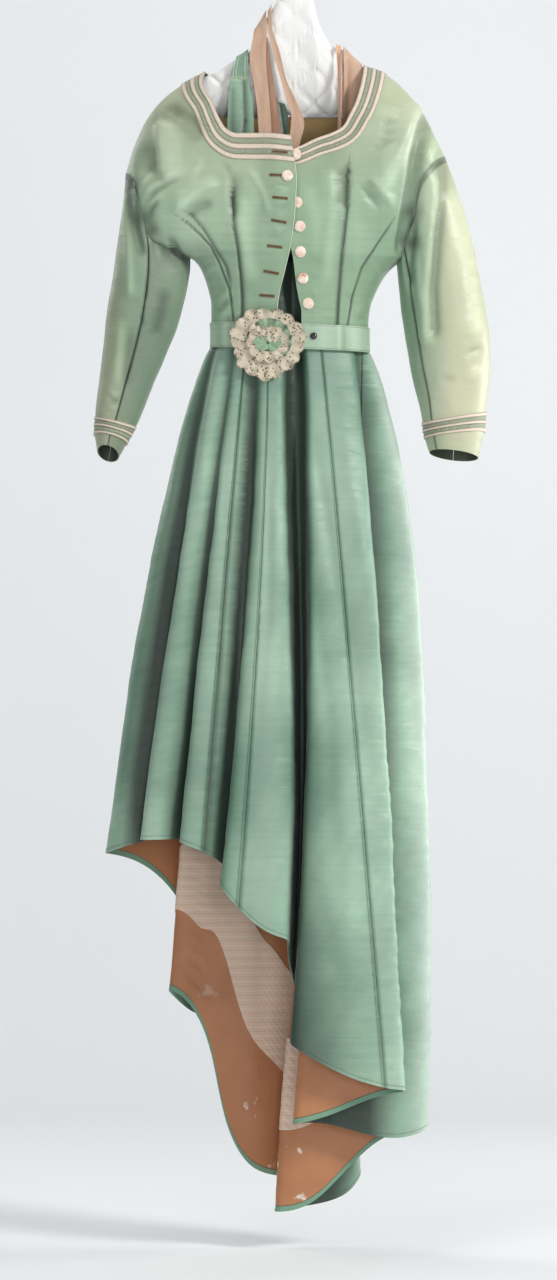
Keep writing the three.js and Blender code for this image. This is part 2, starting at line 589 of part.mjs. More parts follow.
function sleeveRingPoint(side, ring, degrees) {
  const row = Object.fromEntries(SLEEVE_RINGS[side][ring].map((value, i) => [SLEEVE_COLUMNS[i], value]));
  const wrapped = ((degrees % 360) + 360) % 360;
  const turn = THREE.MathUtils.degToRad(wrapped);
  const hole = armholePoint(side, wrapped);
  if (ring === 0) {
    const [ahead, behind] = [2, 358].map((step) => armholePoint(side, (wrapped + step) % 360).point);
    const along = sub(ahead, behind);
    const away = unit(cross(hole.normal, along));
    const body = sub(hole.point, [side === 'right' ? -150 : 120, 0, -300]);
    const sign = away[0] * body[0] + away[2] * body[2] > 0 ? 1 : -1;
    return { point: add(hole.point, away, sign * ARMHOLE_GAP), normal: hole.normal };
  }
  const first = SLEEVE_RINGS[side][0];
  const chord = mix([row.outerX, 0, row.outerZ], [row.innerX, 0, row.innerZ], hole.share);
  const holeChord = mix([first[0], 0, first[1]], [first[2], 0, first[3]], hole.share);
  const bulge = sub([hole.point[0], 0, hole.point[2]], holeChord);
  const depth = lerp(-row.depth * Math.sin(turn), hole.point[1], row.hole);
  const tilt = ring >= 8 ? CUFF_TILT[side] * Math.sin(turn) * (ring - 7) / 2 : 0;
  const point = add(add(chord, bulge, row.hole), [0, depth, tilt]);
  const half = [(row.outerX - row.innerX) / 2, 0, (row.outerZ - row.innerZ) / 2];
  const width = Math.hypot(...half);
  const sideways = unit(half).map((value) => (value * Math.cos(turn)) / width);
  const round = add(sideways, [0, -Math.sin(turn) / row.depth, 0]);
  return { point, normal: unit(mix(unit(round), hole.normal, row.hole * 0.5)) };
}

function sleevePiece(side, from, to) {
  const steps = Math.round(((to - from) / 360) * SLEEVE_SIDES);
  const angles = range(steps + 1, (i) => from + (i * 360) / SLEEVE_SIDES);
  const rings = SLEEVE_RINGS[side].map((_, i) => i);
  const trimmedAngle = (ring, angle) => {
    const [after, before] = [1, -1].map((step) => sleeveRingPoint(side, ring, angle + step).point);
    const trim = (SLEEVE_SEAM_HALF * 2) / Math.hypot(...sub(after, before));
    if (angle === from) return angle + trim;
    if (angle === to) return angle - trim;
    return angle;
  };
  const at = (ring, angle) => sleeveRingPoint(side, ring, trimmedAngle(ring, angle));
  return shell(rings, angles, at, -SILK, 0);
}

// Cuff braid: three rows, at places counted in rings from the armhole, made from the rings' points.
const CUFF_ROWS = { right: [7.16, 7.52, 7.98], left: [7.1, 7.48, 7.88] };
const CUFF_BRAID_SPAN = { right: 0.17, left: 0.17 };
const CUFF_LIE = 0.5;

function betweenRings(side, place, angle) {
  const ring = Math.floor(place);
  const [above, below] = [ring, ring + 1].map((index) => sleeveRingPoint(side, index, angle));
  return {
    point: mix(above.point, below.point, place - ring),
    normal: unit(mix(above.normal, below.normal, place - ring)),
  };
}

for (const side of ['right', 'left']) {
  const seam = SLEEVE_SEAMS[side];
  addMesh(`sleeve_upper_${side}`, sleevePiece(side, BACK_SEAM - 360, seam), clothMaterials.bodice_silk);
  addMesh(`sleeve_under_${side}`, sleevePiece(side, seam, BACK_SEAM), clothMaterials.bodice_silk);
  CUFF_ROWS[side].forEach((place, row) => {
    const angles = range(SLEEVE_SIDES, (i) => (i * 360) / SLEEVE_SIDES);
    const at = (edge, angle) => betweenRings(side, place + edge * CUFF_BRAID_SPAN[side], angle);
    const braid = shell([0, 1], angles, at, CUFF_LIE, CUFF_LIE + BRAID, true);
    addMesh(`cuff_braid_${row + 1}_${side}`, braid, clothMaterials.braid);
  });
}

// ---------------------------------------------------------------- buttons
// Place of each button; `on` is what it sits on: the left front, its braid, or the right front
// through its hole.
const BUTTONS = [
  { x: 4, z: -375, on: 'braid' },
  { x: -10, z: -412, on: 'right' },
  { x: 6, z: -456, on: 'left' },
  { x: 11, z: -496, on: 'left' },
  { x: 12, z: -539, on: 'left' },
  { x: 16, z: -583, on: 'left' },
  { x: 25, z: -625, on: 'left' },
];
const BUTTON_RADIUS = 9.6;
const BUTTON_HEIGHT = 4.4;
const BUTTON_SEATS = { left: LIE, right: -0.1, braid: LIE + BRAID };  // above the smooth form

function turnedButton(radius, height) {
  const profile = [[0, 0], [radius * 0.6, 0], [radius, height * 0.35], [radius * 0.86, height * 0.75],
    [radius * 0.45, height * 0.97], [0, height]];
  return new THREE.LatheGeometry(profile.map(([r, h]) => new THREE.Vector2(r, h)), 10);
}

function seat(mesh, surface, height) {
  mesh.position.set(...add(surface.point, surface.normal, height));
  mesh.quaternion.setFromUnitVectors(new THREE.Vector3(0, 1, 0), new THREE.Vector3(...surface.normal));
}

BUTTONS.forEach(({ x, z, on }, i) => {
  const geometry = turnedButton(BUTTON_RADIUS, BUTTON_HEIGHT);
  const button = addMesh(`button_${i + 1}`, geometry, clothMaterials.button);
  seat(button, formSurface(x, z, -1, on === 'right' ? lapLift(x, z) : 0), BUTTON_SEATS[on]);
});

// ---------------------------------------------------------------- belt and rosette
const BELT_HEIGHT = 43;
const BELT_WALL = 2;
const BELT_LIE = 0.9;
const ROSETTE_X = -42;
const ROSETTE_Z = -692;
const beltMiddle = (x) => -679.5 - 0.033 * (x - WAIST_X);

// Outside of the waist carried straight up and down, as the belt and the rosette lie on it.
function waistSurface(x, z, side) {
  const flat = formSurface(x, -665, side);
  return { point: [x, flat.point[1], z], normal: unit([flat.normal[0], flat.normal[1], 0]) };
}

function beltPlace(turn) {
  const halfWidth = (LEFT_SIDE(-665) - RIGHT_SIDE(-665)) / 2;
  const centre = (LEFT_SIDE(-665) + RIGHT_SIDE(-665)) / 2;
  const x = centre - halfWidth * signedPower(Math.cos(turn), 0.833);
  const y = -HALF_DEPTH(-665) * signedPower(Math.sin(turn), 0.833);
  return [x, y];
}

// The belt is open in front, where its ends meet behind the rosette.
const BELT_OPEN_TURN = 76.5;
const BELT_STEPS = 48;
const beltTurns = range(BELT_STEPS + 1, (i) => (
  THREE.MathUtils.degToRad(BELT_OPEN_TURN + 0.6 + (358.8 * i) / BELT_STEPS)
));
const beltAt = (edge, turn) => {
  const [x, y] = beltPlace(turn);
  const [x0, y0] = beltPlace(turn - 0.02);
  const [x1, y1] = beltPlace(turn + 0.02);
  return { point: [x, y, beltMiddle(x) + edge * (BELT_HEIGHT / 2)], normal: unit([y1 - y0, x0 - x1, 0]) };
};
addMesh(
  'belt',
  shell([1, -1], beltTurns, beltAt, BELT_LIE, BELT_LIE + BELT_WALL),
  clothMaterials.bodice_silk,
);

const hookBead = addMesh('belt_hook_bead', turnedButton(6, 5), jet);
const beadTurn = THREE.MathUtils.degToRad(103.5);
const beadFoot = beltAt(0, beadTurn);
beadFoot.point[2] = -680;
seat(hookBead, beadFoot, BELT_LIE + BELT_WALL + GAP);

// Rosette rings: each is a wall in the round, with waves in depth and a scalloped edge.
function rosetteSurface(radius, angle, rise) {
  const x = ROSETTE_X + radius * Math.cos(angle);
  const surface = waistSurface(x, ROSETTE_Z + radius * Math.sin(angle), -1);
  return { point: add(surface.point, surface.normal, rise), normal: surface.normal };
}

function frill({ name, inner, outer, rise, scallops, scallop, wave, slope, material, steps, thick }) {
  const angles = range(scallops * steps, (i) => (2 * Math.PI * i) / (scallops * steps));
  const at = (t, angle) => {
    const edge = outer - scallop + scallop * Math.abs(Math.sin((angle * scallops) / 2));
    const radius = lerp(inner, edge, t);
    const ripple = wave * t * Math.cos(angle * scallops);
    return rosetteSurface(radius, angle, rise + slope * t + ripple);
  };
  addMesh(name, shell([0, 1], angles, at, 0, thick, true), clothMaterials[material]);
}

const ROSETTE_SEAT = BELT_LIE + BELT_WALL + LIE;
const rosetteBase = range(24, (i) => (2 * Math.PI * i) / 24);
const baseAt = (radius, angle) => rosetteSurface(radius, angle, 0);
addMesh(
  'rosette_base',
  shell([4, 22, 40], rosetteBase, baseAt, ROSETTE_SEAT, ROSETTE_SEAT + 2, true),
  clothMaterials.bodice_silk,
);
frill({
  name: 'rosette_lace_outer', inner: 24, outer: 61, rise: ROSETTE_SEAT + 2.3, scallops: 13, scallop: 7,
  wave: 2, slope: 4.4, material: 'lace', steps: 4, thick: LINER,
});
frill({
  name: 'rosette_lace_inner', inner: 12, outer: 36, rise: ROSETTE_SEAT + 2.4, scallops: 9, scallop: 5,
  wave: 1.4, slope: 7, material: 'lace', steps: 4, thick: LINER,
});
frill({
  name: 'rosette_centre', inner: 2, outer: 19, rise: ROSETTE_SEAT + 1.8, scallops: 6, scallop: 3, wave: 1.5,
  slope: 7, material: 'bodice_silk', steps: 4, thick: SILK,
});

// ---------------------------------------------------------------- padded hanger
// Stations across the hanger: top, bottom and half the thickness of the pad.
const ARM_SEAT = 2.7;             // pad below the shoulder line, which the cloth only touches in places
const ARM_THICK = [16, 13, 10];
const ARM_STATIONS = 3;
const PAD_COLUMNS = ['x', 'top', 'bottom', 'thick'];
const PAD_NECK = [
  [-124, -224, -306, 19], [-99, -207, -306, 21], [-78, -197, -306, 22], [-60, -166, -306, 22],
  [-46, -138, -306, 22], [-26, -105, -306, 20], [-12, -76, -306, 18], [4, -60, -306, 17],
  [20, -76, -306, 18], [34, -105, -306, 20], [42, -139, -306, 22], [68, -184, -306, 22], [87, -191, -306, 21],
  [114, -219, -306, 19],
];
const ARM_DEPTH = smoothTable([[110, 88], [150, 78], [190, 58], [230, 42], [260, 26]]);

// Stations of an arm lie under the shoulder's own points, moved in square to the shoulder line.
function armStations(side) {
  const neckEnd = PANELS[side].grid[NECK_LAST][FRONT_COLUMNS][0];
  const points = outerEdge(side, neckEnd).slice(0, ARM_STATIONS + 1);
  const stations = points.slice(0, ARM_STATIONS).map(([x, z], i) => {
    const [x0, z0] = points[Math.max(0, i - 1)];
    const [x1, z1] = points[i + 1];
    const [dx, dz] = [x1 - x0, z1 - z0].map((value) => value / Math.hypot(x1 - x0, z1 - z0));
    const under = Math.sign(dx) * ARM_SEAT;
    return [x + dz * under, z - dx * under];
  });
  return stations.map(([x, z], i) => [x, z, z - ARM_DEPTH(Math.abs(x)), ARM_THICK[i]]);
}

const rightArm = armStations('right').reverse();
const leftArm = armStations('left');
const roundedEnd = ([x, top, bottom, thick], reach) => (
  [x + reach, top - 16, (top + bottom) / 2 - 8, thick / 2]
);
const PAD_STATIONS = [
  roundedEnd(rightArm[0], -6),
  ...rightArm,
  ...PAD_NECK,
  ...leftArm,
  roundedEnd(leftArm[ARM_STATIONS - 1], 6),
].map((row) => Object.fromEntries(row.map((value, i) => [PAD_COLUMNS[i], value])));
const PAD_SIDES = 12;

function padRing({ x, top, bottom, thick }) {
  const [middle, half] = [(top + bottom) / 2, (top - bottom) / 2];
  return range(PAD_SIDES, (i) => {
    const turn = (2 * Math.PI * i) / PAD_SIDES;
    return [x, thick * signedPower(Math.sin(turn), 0.8), middle + half * signedPower(Math.cos(turn), 0.95)];
  });
}

addMesh('hanger_pad', skin(PAD_STATIONS.map(padRing)), clothMaterials.hanger_cover);

// Wire hook: a stem out of the pad's top and a round bend whose inside top is the origin.
const WIRE_RADIUS = 2;
const WIRE_SIDES = 6;
const HOOK_RADIUS = 21;           // to the wire's middle
const hookTopZ = WIRE_RADIUS;
const hookMiddleZ = hookTopZ - HOOK_RADIUS;
const HOOK_STEM = [[4, -60 + GAP], [4, -54], [3, -48]];

function wireRoute() {
  const bend = range(15, (i) => {
    const turn = THREE.MathUtils.degToRad(-72 + i * 18);
    return [HOOK_RADIUS * Math.cos(turn), hookMiddleZ + HOOK_RADIUS * Math.sin(turn)];
  });
  return [...HOOK_STEM, ...bend];
}

const wire = wireRoute();
const wireRings = wire.map(([x, z], i) => {
  const [x0, z0] = wire[Math.max(0, i - 1)];
  const [x1, z1] = wire[Math.min(wire.length - 1, i + 1)];
  const along = i === 0 ? [0, 0, 1] : unit([x1 - x0, 0, z1 - z0]);
  const across = [along[2], 0, -along[0]];
  return range(WIRE_SIDES, (k) => {
    const turn = (2 * Math.PI * k) / WIRE_SIDES;
    return add(add([x, 0, z], across, WIRE_RADIUS * Math.cos(turn)), [0, 1, 0], WIRE_RADIUS * Math.sin(turn));
  });
});
addMesh('hanger_hook', skin(wireRings), steel);

// ---------------------------------------------------------------- ribbon loops and waist tab
// Flat strips hung over the pad, given by their two edges: left x, y, z and right x, y, z. A strip
// with a `foot` is sewn inside the skirt's top between those two places in x.
const STRIPS = {
  hanger_loop_right_outer: {
    material: 'ribbon',
    foot: [-80, -58],
    edges: [
      [-70, -46, -440, -48, -46, -440],
      [-58, -38, -350, -36, -38, -350], [-61, -31, -292, -39, -31, -290], [-67, -28, -248, -43, -28, -245],
      [-73, -27, -205, -46, -28, -204], [-68, -25, -172, -45, -26, -160], [-66, -13, -158, -46, -13, -125],
      [-66, 4, -156, -46, 4, -122], [-66, 20, -168, -46, 20, -140], [-66, 26, -205, -46, 26, -190],
    ],
  },
  hanger_loop_right_inner: {
    material: 'ribbon',
    foot: [-50, -28],
    edges: [
      [-32, -46, -440, -10, -46, -440],
      [-10, -38, -360, 12, -38, -350], [-3, -34, -310, 19, -33, -318], [-13, -31, -270, 7, -31, -284],
      [-26, -29, -225, -12, -29, -241], [-35, -28, -190, -22, -28, -199], [-42, -27, -158, -36, -27, -150],
      [-43, -16, -128, -37, -16, -117], [-43, 4, -123, -37, 4, -112], [-43, 21, -132, -37, 21, -122],
      [-43, 25, -170, -37, 25, -160],
    ],
  },
  hanger_loop_left_outer: {
    material: 'ribbon',
    foot: [62, 84],
    edges: [
      [74, -44, -440, 96, -42, -440],
      [82, -40, -350, 106, -38, -350], [84, -34, -300, 112, -33, -300], [86, -29, -240, 118, -30, -252],
      [86, -20, -197, 118, -21, -228], [86, 2, -184, 117, 2, -214], [86, 22, -198, 115, 22, -226],
      [86, 26, -235, 112, 26, -252],
    ],
  },
  hanger_loop_left_inner: {
    material: 'ribbon',
    foot: [36, 58],
    edges: [
      [52, -46, -440, 70, -46, -440],
      [74, -34, -350, 80, -50, -350], [76, -30, -300, 81, -51, -300], [76, -28, -240, 82, -46, -240],
      [74, -22, -192, 81, -26, -196], [74, 2, -180, 81, 2, -183], [74, 24, -194, 81, 24, -197],
      [74, 26, -235, 81, 26, -235],
    ],
  },
  waist_tab: {
    material: 'skirt_silk',
    edges: [
      [-104, -47, -430, -76, -46, -430], [-112, -41, -352, -66, -40, -352], [-110, -34, -284, -68, -34, -284],
      [-104, -28, -233, -77, -28, -233], [-96, -22, -204, -77, -20, -195], [-95, 2, -201.8, -76, 2, -188.8],
      [-95, 24, -212, -76, 24, -200], [-95, 27, -245, -76, 27, -240],
    ],
  },
};

const FOOT_LEVELS = [-0.75, -1];

// Knot number at which the front of the waist reaches x.
function waistKnot(x) {
  let [low, high] = [0, knot('F_side_front')];
  for (let i = 0; i < 40; i += 1) {
    const middle = (low + high) / 2;
    if (skirtPoint(middle, 0)[0] < x) low = middle;
    else high = middle;
  }
  return low;
}

// Straight line across the inside of the skirt's top, clear of every pleat between its ends.
function footRow([leftX, rightX], v) {
  const [from, to] = [waistKnot(leftX), waistKnot(rightX)];
  const inside = range(9, (i) => skirtSurface(lerp(from, to, i / 8), v)).map(({ point, normal }) => (
    add(point, normal, -SILK)
  ));
  const [left, right] = [inside[0], inside[8]];
  const inward = unit([left[1] - right[1], right[0] - left[0], 0]);
  const depth = Math.max(...inside.map(([x, y]) => (x - left[0]) * inward[0] + (y - left[1]) * inward[1]));
  return [...add(left, inward, depth + GAP), ...add(right, inward, depth + GAP)];
}

for (const [name, { material, foot, edges: shown }] of Object.entries(STRIPS)) {
  const edges = [...(foot ? FOOT_LEVELS.map((v) => footRow(foot, v)) : []), ...shown];
  const lines = [edges.map((row) => row.slice(0, 3)), edges.map((row) => row.slice(3))];
  const at = (line, i) => {
    const last = edges.length - 1;
    const along = sub(lines[line][Math.min(last, i + 1)], lines[line][Math.max(0, i - 1)]);
    const across = sub(lines[1][i], lines[0][i]);
    return { point: lines[line][i], normal: unit(cross(along, across)) };
  };
  addMesh(name, shell([0, 1], edges.map((_, i) => i), at, 0, LINER), clothMaterials[material]);
}

export default gown;
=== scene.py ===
# Silk ball gown of about 1865 on a quilted padded hanger, made piece by piece in the order in which it
# is put together. Tables are in millimetres, +Z up, the front faces -Y; "right" is the wearer's, at -X.
import math

import bpy
import numpy as np
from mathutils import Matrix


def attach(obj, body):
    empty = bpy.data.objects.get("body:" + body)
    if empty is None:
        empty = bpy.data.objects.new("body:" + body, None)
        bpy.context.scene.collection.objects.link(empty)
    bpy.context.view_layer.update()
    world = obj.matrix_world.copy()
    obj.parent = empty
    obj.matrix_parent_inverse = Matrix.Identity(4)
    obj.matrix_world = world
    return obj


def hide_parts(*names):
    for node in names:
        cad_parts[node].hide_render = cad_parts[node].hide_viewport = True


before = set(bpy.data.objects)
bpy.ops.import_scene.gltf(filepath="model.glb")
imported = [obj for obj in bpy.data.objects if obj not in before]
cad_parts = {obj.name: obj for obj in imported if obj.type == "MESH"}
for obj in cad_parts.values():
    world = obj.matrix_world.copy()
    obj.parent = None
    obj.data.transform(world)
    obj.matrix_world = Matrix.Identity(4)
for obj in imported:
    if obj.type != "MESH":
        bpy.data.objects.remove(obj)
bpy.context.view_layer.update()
BODY = "root"
MM = 0.001

# ------------------------------------------------------------------ camera, backdrop and light
# A long lens looks level at the middle of the gown. The backdrop is one pale sweep of paper that
# rises behind the gown; soft boxes light it from the right and above and, weaker, from the left.
IMAGE_HEIGHT = 2.176                      # metres of the object's plane that the frame's height shows
CAMERA_DISTANCE = 9.0
SENSOR = 36.0
CAMERA_AIM = (-0.0247, -1.193)            # x, z
FLOOR_Z = -2.235


def srgb(red, green, blue, alpha=1.0):
    def linear(value):
        value /= 255
        return value / 12.92 if value <= 0.04045 else ((value + 0.055) / 1.055) ** 2.4
    return (linear(red), linear(green), linear(blue), alpha)


def add_object(name, data):
    made = bpy.data.objects.new(name, data)
    bpy.context.scene.collection.objects.link(made)
    return made


def node(tree, kind, inputs=None, **settings):
    made = tree.nodes.new(kind)
    for key, value in settings.items():
        setattr(made, key, value)
    for key, value in (inputs or {}).items():
        if isinstance(value, bpy.types.NodeSocket):
            tree.links.new(value, made.inputs[key])
        else:
            made.inputs[key].default_value = value
    return made


class Look:
    """A procedural material in the making: place is on the object, cloth runs along the weave."""

    def __init__(self, name, settings):
        self.material = bpy.data.materials.new(name)
        self.material.use_nodes = True
        self.tree = self.material.node_tree
        self.shader = self.tree.nodes["Principled BSDF"]
        for key, value in settings.items():
            self.shader.inputs[key].default_value = value
        where = node(self.tree, "ShaderNodeTexCoord").outputs
        self.place, self.cloth = where["Object"], where["UV"]

    def mix(self, factor, first, second, mode="MIX"):
        inputs = {0: factor, 6: first, 7: second}
        return node(self.tree, "ShaderNodeMix", inputs, data_type="RGBA", blend_type=mode).outputs[2]

    def noise(self, place, scale, detail=2.0, distortion=0.0):
        inputs = {"Vector": place, "Scale": scale, "Detail": detail, "Distortion": distortion}
        return node(self.tree, "ShaderNodeTexNoise", inputs).outputs[0]

    def stretch(self, place, *scale):
        return node(self.tree, "ShaderNodeMapping", {"Vector": place, "Scale": scale}).outputs[0]

    def spread(self, value, low, high, to_low=0.0, to_high=1.0):
        inputs = {0: value, 1: low, 2: high, 3: to_low, 4: to_high}
        return node(self.tree, "ShaderNodeMapRange", inputs).outputs[0]

    def maths(self, operation, *values):
        return node(self.tree, "ShaderNodeMath", dict(enumerate(values)), operation=operation).outputs[0]

    def split(self, vector):
        return node(self.tree, "ShaderNodeSeparateXYZ", {0: vector}).outputs

    def toned(self, colour, amount, tone):
        grey = node(self.tree, "ShaderNodeCombineColor", {0: tone, 1: tone, 2: tone}).outputs[0]
        return self.mix(amount, colour, grey, "MULTIPLY")

    def bump(self, height, strength, distance, below=None):
        inputs = {"Strength": strength, "Distance": distance, "Height": height}
        if below is not None:
            inputs["Normal"] = below
        return node(self.tree, "ShaderNodeBump", inputs).outputs[0]

    def finish(self, colour, bump=None, roughness=None):
        for key, value in (("Base Color", colour), ("Normal", bump), ("Roughness", roughness)):
            if value is not None:
                self.tree.links.new(value, self.shader.inputs[key])
        return self.material


camera = add_object("camera", bpy.data.cameras.new("camera"))
camera.location = (CAMERA_AIM[0], -CAMERA_DISTANCE, CAMERA_AIM[1])
camera.rotation_euler = (math.radians(90), 0, 0)
camera.data.sensor_width = SENSOR
camera.data.lens = SENSOR * CAMERA_DISTANCE / IMAGE_HEIGHT
camera.data.clip_end = 60
bpy.context.scene.camera = camera

SWEEP_HALF_WIDTH = 9.0
SWEEP_BACK = 2.6                          # where the paper starts to rise
SWEEP_RADIUS = 1.6
sweep = [(-14.0, FLOOR_Z), (SWEEP_BACK, FLOOR_Z)]
for step in range(1, 25):
    angle = math.radians(90 * step / 24)
    rise = SWEEP_RADIUS * (1 - math.cos(angle))
    sweep.append((SWEEP_BACK + SWEEP_RADIUS * math.sin(angle), FLOOR_Z + rise))
sweep.append((SWEEP_BACK + SWEEP_RADIUS, 6.0))
sweep_mesh = bpy.data.meshes.new("backdrop")
sweep_mesh.from_pydata(
    [(side * SWEEP_HALF_WIDTH, y, z) for y, z in sweep for side in (-1, 1)],
    [],
    [(2 * i, 2 * i + 1, 2 * i + 3, 2 * i + 2) for i in range(len(sweep) - 1)],
)
for polygon in sweep_mesh.polygons:
    polygon.use_smooth = True
look = Look("backdrop_paper", {"Roughness": 0.95})
tone = look.noise(look.place, 0.35, 1.0)
paper = look.finish(look.mix(tone, srgb(230, 233, 235), srgb(240, 242, 243)))
# The paper is clear from its back, so that the gown can be looked at from behind.
paper_back = node(look.tree, "ShaderNodeNewGeometry").outputs["Backfacing"]
clear = node(look.tree, "ShaderNodeBsdfTransparent").outputs[0]
one_sided = node(look.tree, "ShaderNodeMixShader", {0: paper_back, 1: look.shader.outputs[0], 2: clear})
look.tree.links.new(one_sided.outputs[0], look.tree.nodes["Material Output"].inputs["Surface"])
backdrop = add_object("backdrop", sweep_mesh)
sweep_mesh.materials.append(paper)

LIGHT_COLUMNS = ("name", "place", "aim", "size", "watts", "colour")
LIGHTS = [
    ("key", (3.9, -3.6, 1.5), (0.0, 0.0, -1.0), 1.3, 205, (1.0, 0.99, 0.97)),
    ("fill", (-3.2, -4.6, -0.5), (0.0, 0.0, -1.0), 2.4, 27, (0.97, 0.985, 1.0)),
    ("top", (-0.9, -1.6, 2.6), (0.0, 0.0, -0.5), 1.6, 30, (1.0, 0.99, 0.96)),
    ("low", (0.6, -5.0, -0.9), (0.0, 0.0, -0.9), 1.4, 34, (1.0, 0.985, 0.96)),
    ("back_left", (-3.0, 2.2, 0.6), (0.0, 0.0, -0.8), 1.6, 26, (1.0, 1.0, 1.0)),
    ("side_right", (3.8, 0.5, -0.9), (0.0, 0.0, -1.3), 1.6, 80, (1.0, 1.0, 1.0)),
    ("backdrop_wash", (-0.6, 0.9, 1.6), (0.2, 4.4, -1.6), 2.6, 22, (1.0, 1.0, 1.0)),
]
for row in LIGHTS:
    lamp = dict(zip(LIGHT_COLUMNS, row))
    data = bpy.data.lights.new(lamp["name"], "AREA")
    data.shape = "DISK"
    data.size = lamp["size"]
    data.energy = lamp["watts"]
    data.color = lamp["colour"]
    light = add_object("light_" + lamp["name"], data)
    light.location = lamp["place"]
    aim = np.array(lamp["aim"]) - np.array(lamp["place"])
    light.rotation_euler = (
        math.atan2(math.hypot(aim[0], aim[1]), -aim[2]),
        0,
        math.atan2(aim[0], -aim[1]) + math.pi,
    )

world = bpy.data.worlds.new("studio")
world.use_nodes = True
world.node_tree.nodes["Background"].inputs["Color"].default_value = srgb(233, 236, 240)
world.node_tree.nodes["Background"].inputs["Strength"].default_value = 0.27
bpy.context.scene.world = world
bpy.context.scene.view_settings.view_transform = "Standard"

# ------------------------------------------------------------------ skirt gores
# Seven gores of crisp silk taffeta, sewn into one closed tube and laid in deep pleats at the waist,
# from which they fall in soft folds to a hem that runs down to the train. Seams pucker the silk.
SILK = 1.5
GAP = 0.3
WAIST_Z = -692
WAIST_X = -8.5
WAIST_HALF_WIDTH = 128.2
WAIST_HALF_DEPTH = 56
SKIRT_RISE = 138
FOLD_COLUMNS = ("name", "turn", "tuck", "x", "y", "drop", "bow", "low")
FOLDS = [
    ("A_side_front", 2, 0, -321, -8, 864, -28, 0),
    ("A_front", 11, 0, -292, -42, 852, -24, 0),
    ("AB_valley", 21, 2, -243, -26, 840, -14, 0),
    ("B_edge_back", 29, 0, -262, -48, 838, -11, 0),
    ("B_edge_front", 35, -2, -262, -70, 838, -11, 0),
    ("B_front", 43, -2, -221, -78, 838, -8, 0),
    ("BC_valley", 50, 3, -177, -46, 836, -7, 0),
    ("C_edge_back", 54, 0, -194, -64, 838, -7, 0),
    ("C_edge_front", 57, -2, -194, -90, 843, -7, 0),
    ("right_seam", 61, -2, -151, -98, 855, -3, 0),
    ("CD_valley", 66, 3, -102, -64, 886, 5, 0),
    ("D_edge_back", 70, 0, -124, -86, 910, 12, 0),
    ("D_edge_front", 74, -2, -124, -112, 913, 12, 0),
    ("front_right_seam", 77, -2, -95, -124, 949, 10, 0),
    ("D_front", 83, -2, -48, -130, 993, 7, 0),
    ("D_right_front", 87, -1, -5, -120, 1003, -3, 14),
    ("D_right_back", 89, 4, -5, -92, 1012, -3, 14),
    ("slit_right", 90.5, 10, -7, -52, 1037, -3, 14),
    ("slit_floor", 92.5, 14, 3, -12, 1088, 5, 12),
    ("slit_left", 95, 10, 8, -50, 1134, 14, 5),
    ("E_edge_back", 97, 4, -5, -80, 1175, 15, 5),
    ("E_edge_front", 99, -1, -5, -106, 1182, 15, 5),
    ("E_front_1", 101, -2, 42, -120, 1209, 8, 0),
    ("E_front_2", 105, -2, 100, -122, 1239, 3, 0),
    ("front_left_seam", 109, -2, 162, -116, 1255, 2, 0),
    ("E_front_3", 124, -2, 178, -113, 1256, 7, 0),
    ("E_left_front", 138, -1, 189, -106, 1258, 14, 0),
    ("E_left_back", 146, 2, 189, -84, 1261, 14, 0),
    ("E_inside_1", 152, 3, 134, -76, 1270, 10, 0),
    ("E_inside_2", 156, 3, 63, -74, 1304, 0, 0),
    ("F_edge_front", 160, 2, 0, -72, 1319, -3, 0),
    ("F_edge_back", 164, 1, 0, -44, 1319, -3, 0),
    ("left_seam", 168, 0, 56, -36, 1316, 3, 0),
    ("F_front_1", 172, 0, 126, -38, 1341, 20, 0),
    ("F_front_2", 176, 0, 189, -34, 1348, 41, 0),
    ("F_side_front", 180, 0, 231, -16, 1329, 56, 0),
    ("F_side_back", 185, 0, 231, 8, 1329, 56, 0),
    ("F_inside_1", 191, 0, 190, 22, 1336, 41, 0),
    ("F_inside_2", 197, 1, 144, 26, 1350, 20, 0),
    ("F_inside_3", 203, 2, 87, 24, 1406, 7, 0),
    ("F_inside_4", 209, 3, 29, 18, 1470, 0, 0),
    ("G_edge_front", 215, 3, -31, 14, 1476, -5, 0),
    ("G_edge_back", 221, 2, -31, 40, 1474, -5, 0),
    ("G_front_1", 227, 0, 37, 50, 1467, 0, 0),
    ("G_front_2", 233, 0, 92, 60, 1454, 8, 0),
    ("G_left_front", 239, -1, 117, 68, 1420, 10, 0),
    ("G_left_back", 245, 0, 117, 90, 1406, 10, 0),
    ("back_left_seam", 251, 0, 54, 98, 1420, 5, 0),
    ("H_1", 257, 0, -8, 88, 1423, 0, 0),
    ("H_2", 264, 0, -49, 68, 1416, 0, 0),
    ("H_3", 271, 0, -85, 60, 1396, -3, 0),
    ("H_4", 278, 0, -121, 62, 1321, -7, 0),
    ("H_5", 285, 0, -139, 60, 1192, -10, 0),
    ("back_right_seam", 292, 1, -175, 52, 1117, -14, 0),
    ("I_edge_front", 299, 2, -212, 44, 1096, -17, 0),
    ("I_edge_back", 305, 2, -212, 72, 1103, -17, 0),
    ("I_inside", 311, 0, -175, 84, 1141, -14, 0),
    ("J_left_front", 318, 0, -146, 98, 1148, -22, 0),
    ("J_left_back", 326, 0, -146, 124, 1071, -24, 0),
    ("A_inside_1", 334, 0, -185, 116, 952, -22, 0),
    ("A_inside_2", 342, 0, -250, 88, 882, -20, 0),
    ("side_right_seam", 349, 0, -306, 46, 867, -26, 0),
    ("A_side_back", 356, 0, -321, 14, 864, -28, 0),
]
FOLD = {name: np.array([row[i] for row in FOLDS]) for i, name in enumerate(FOLD_COLUMNS) if i}
KNOTS = len(FOLDS)
KNOT = {row[0]: i for i, row in enumerate(FOLDS)}


def lerp(a, b, t):
    return a + (b - a) * t


def ease(t):
    t = np.clip(t, 0, 1)
    return t * t * (3 - 2 * t)


def signed_power(value, power):
    return np.sign(value) * np.abs(value) ** power


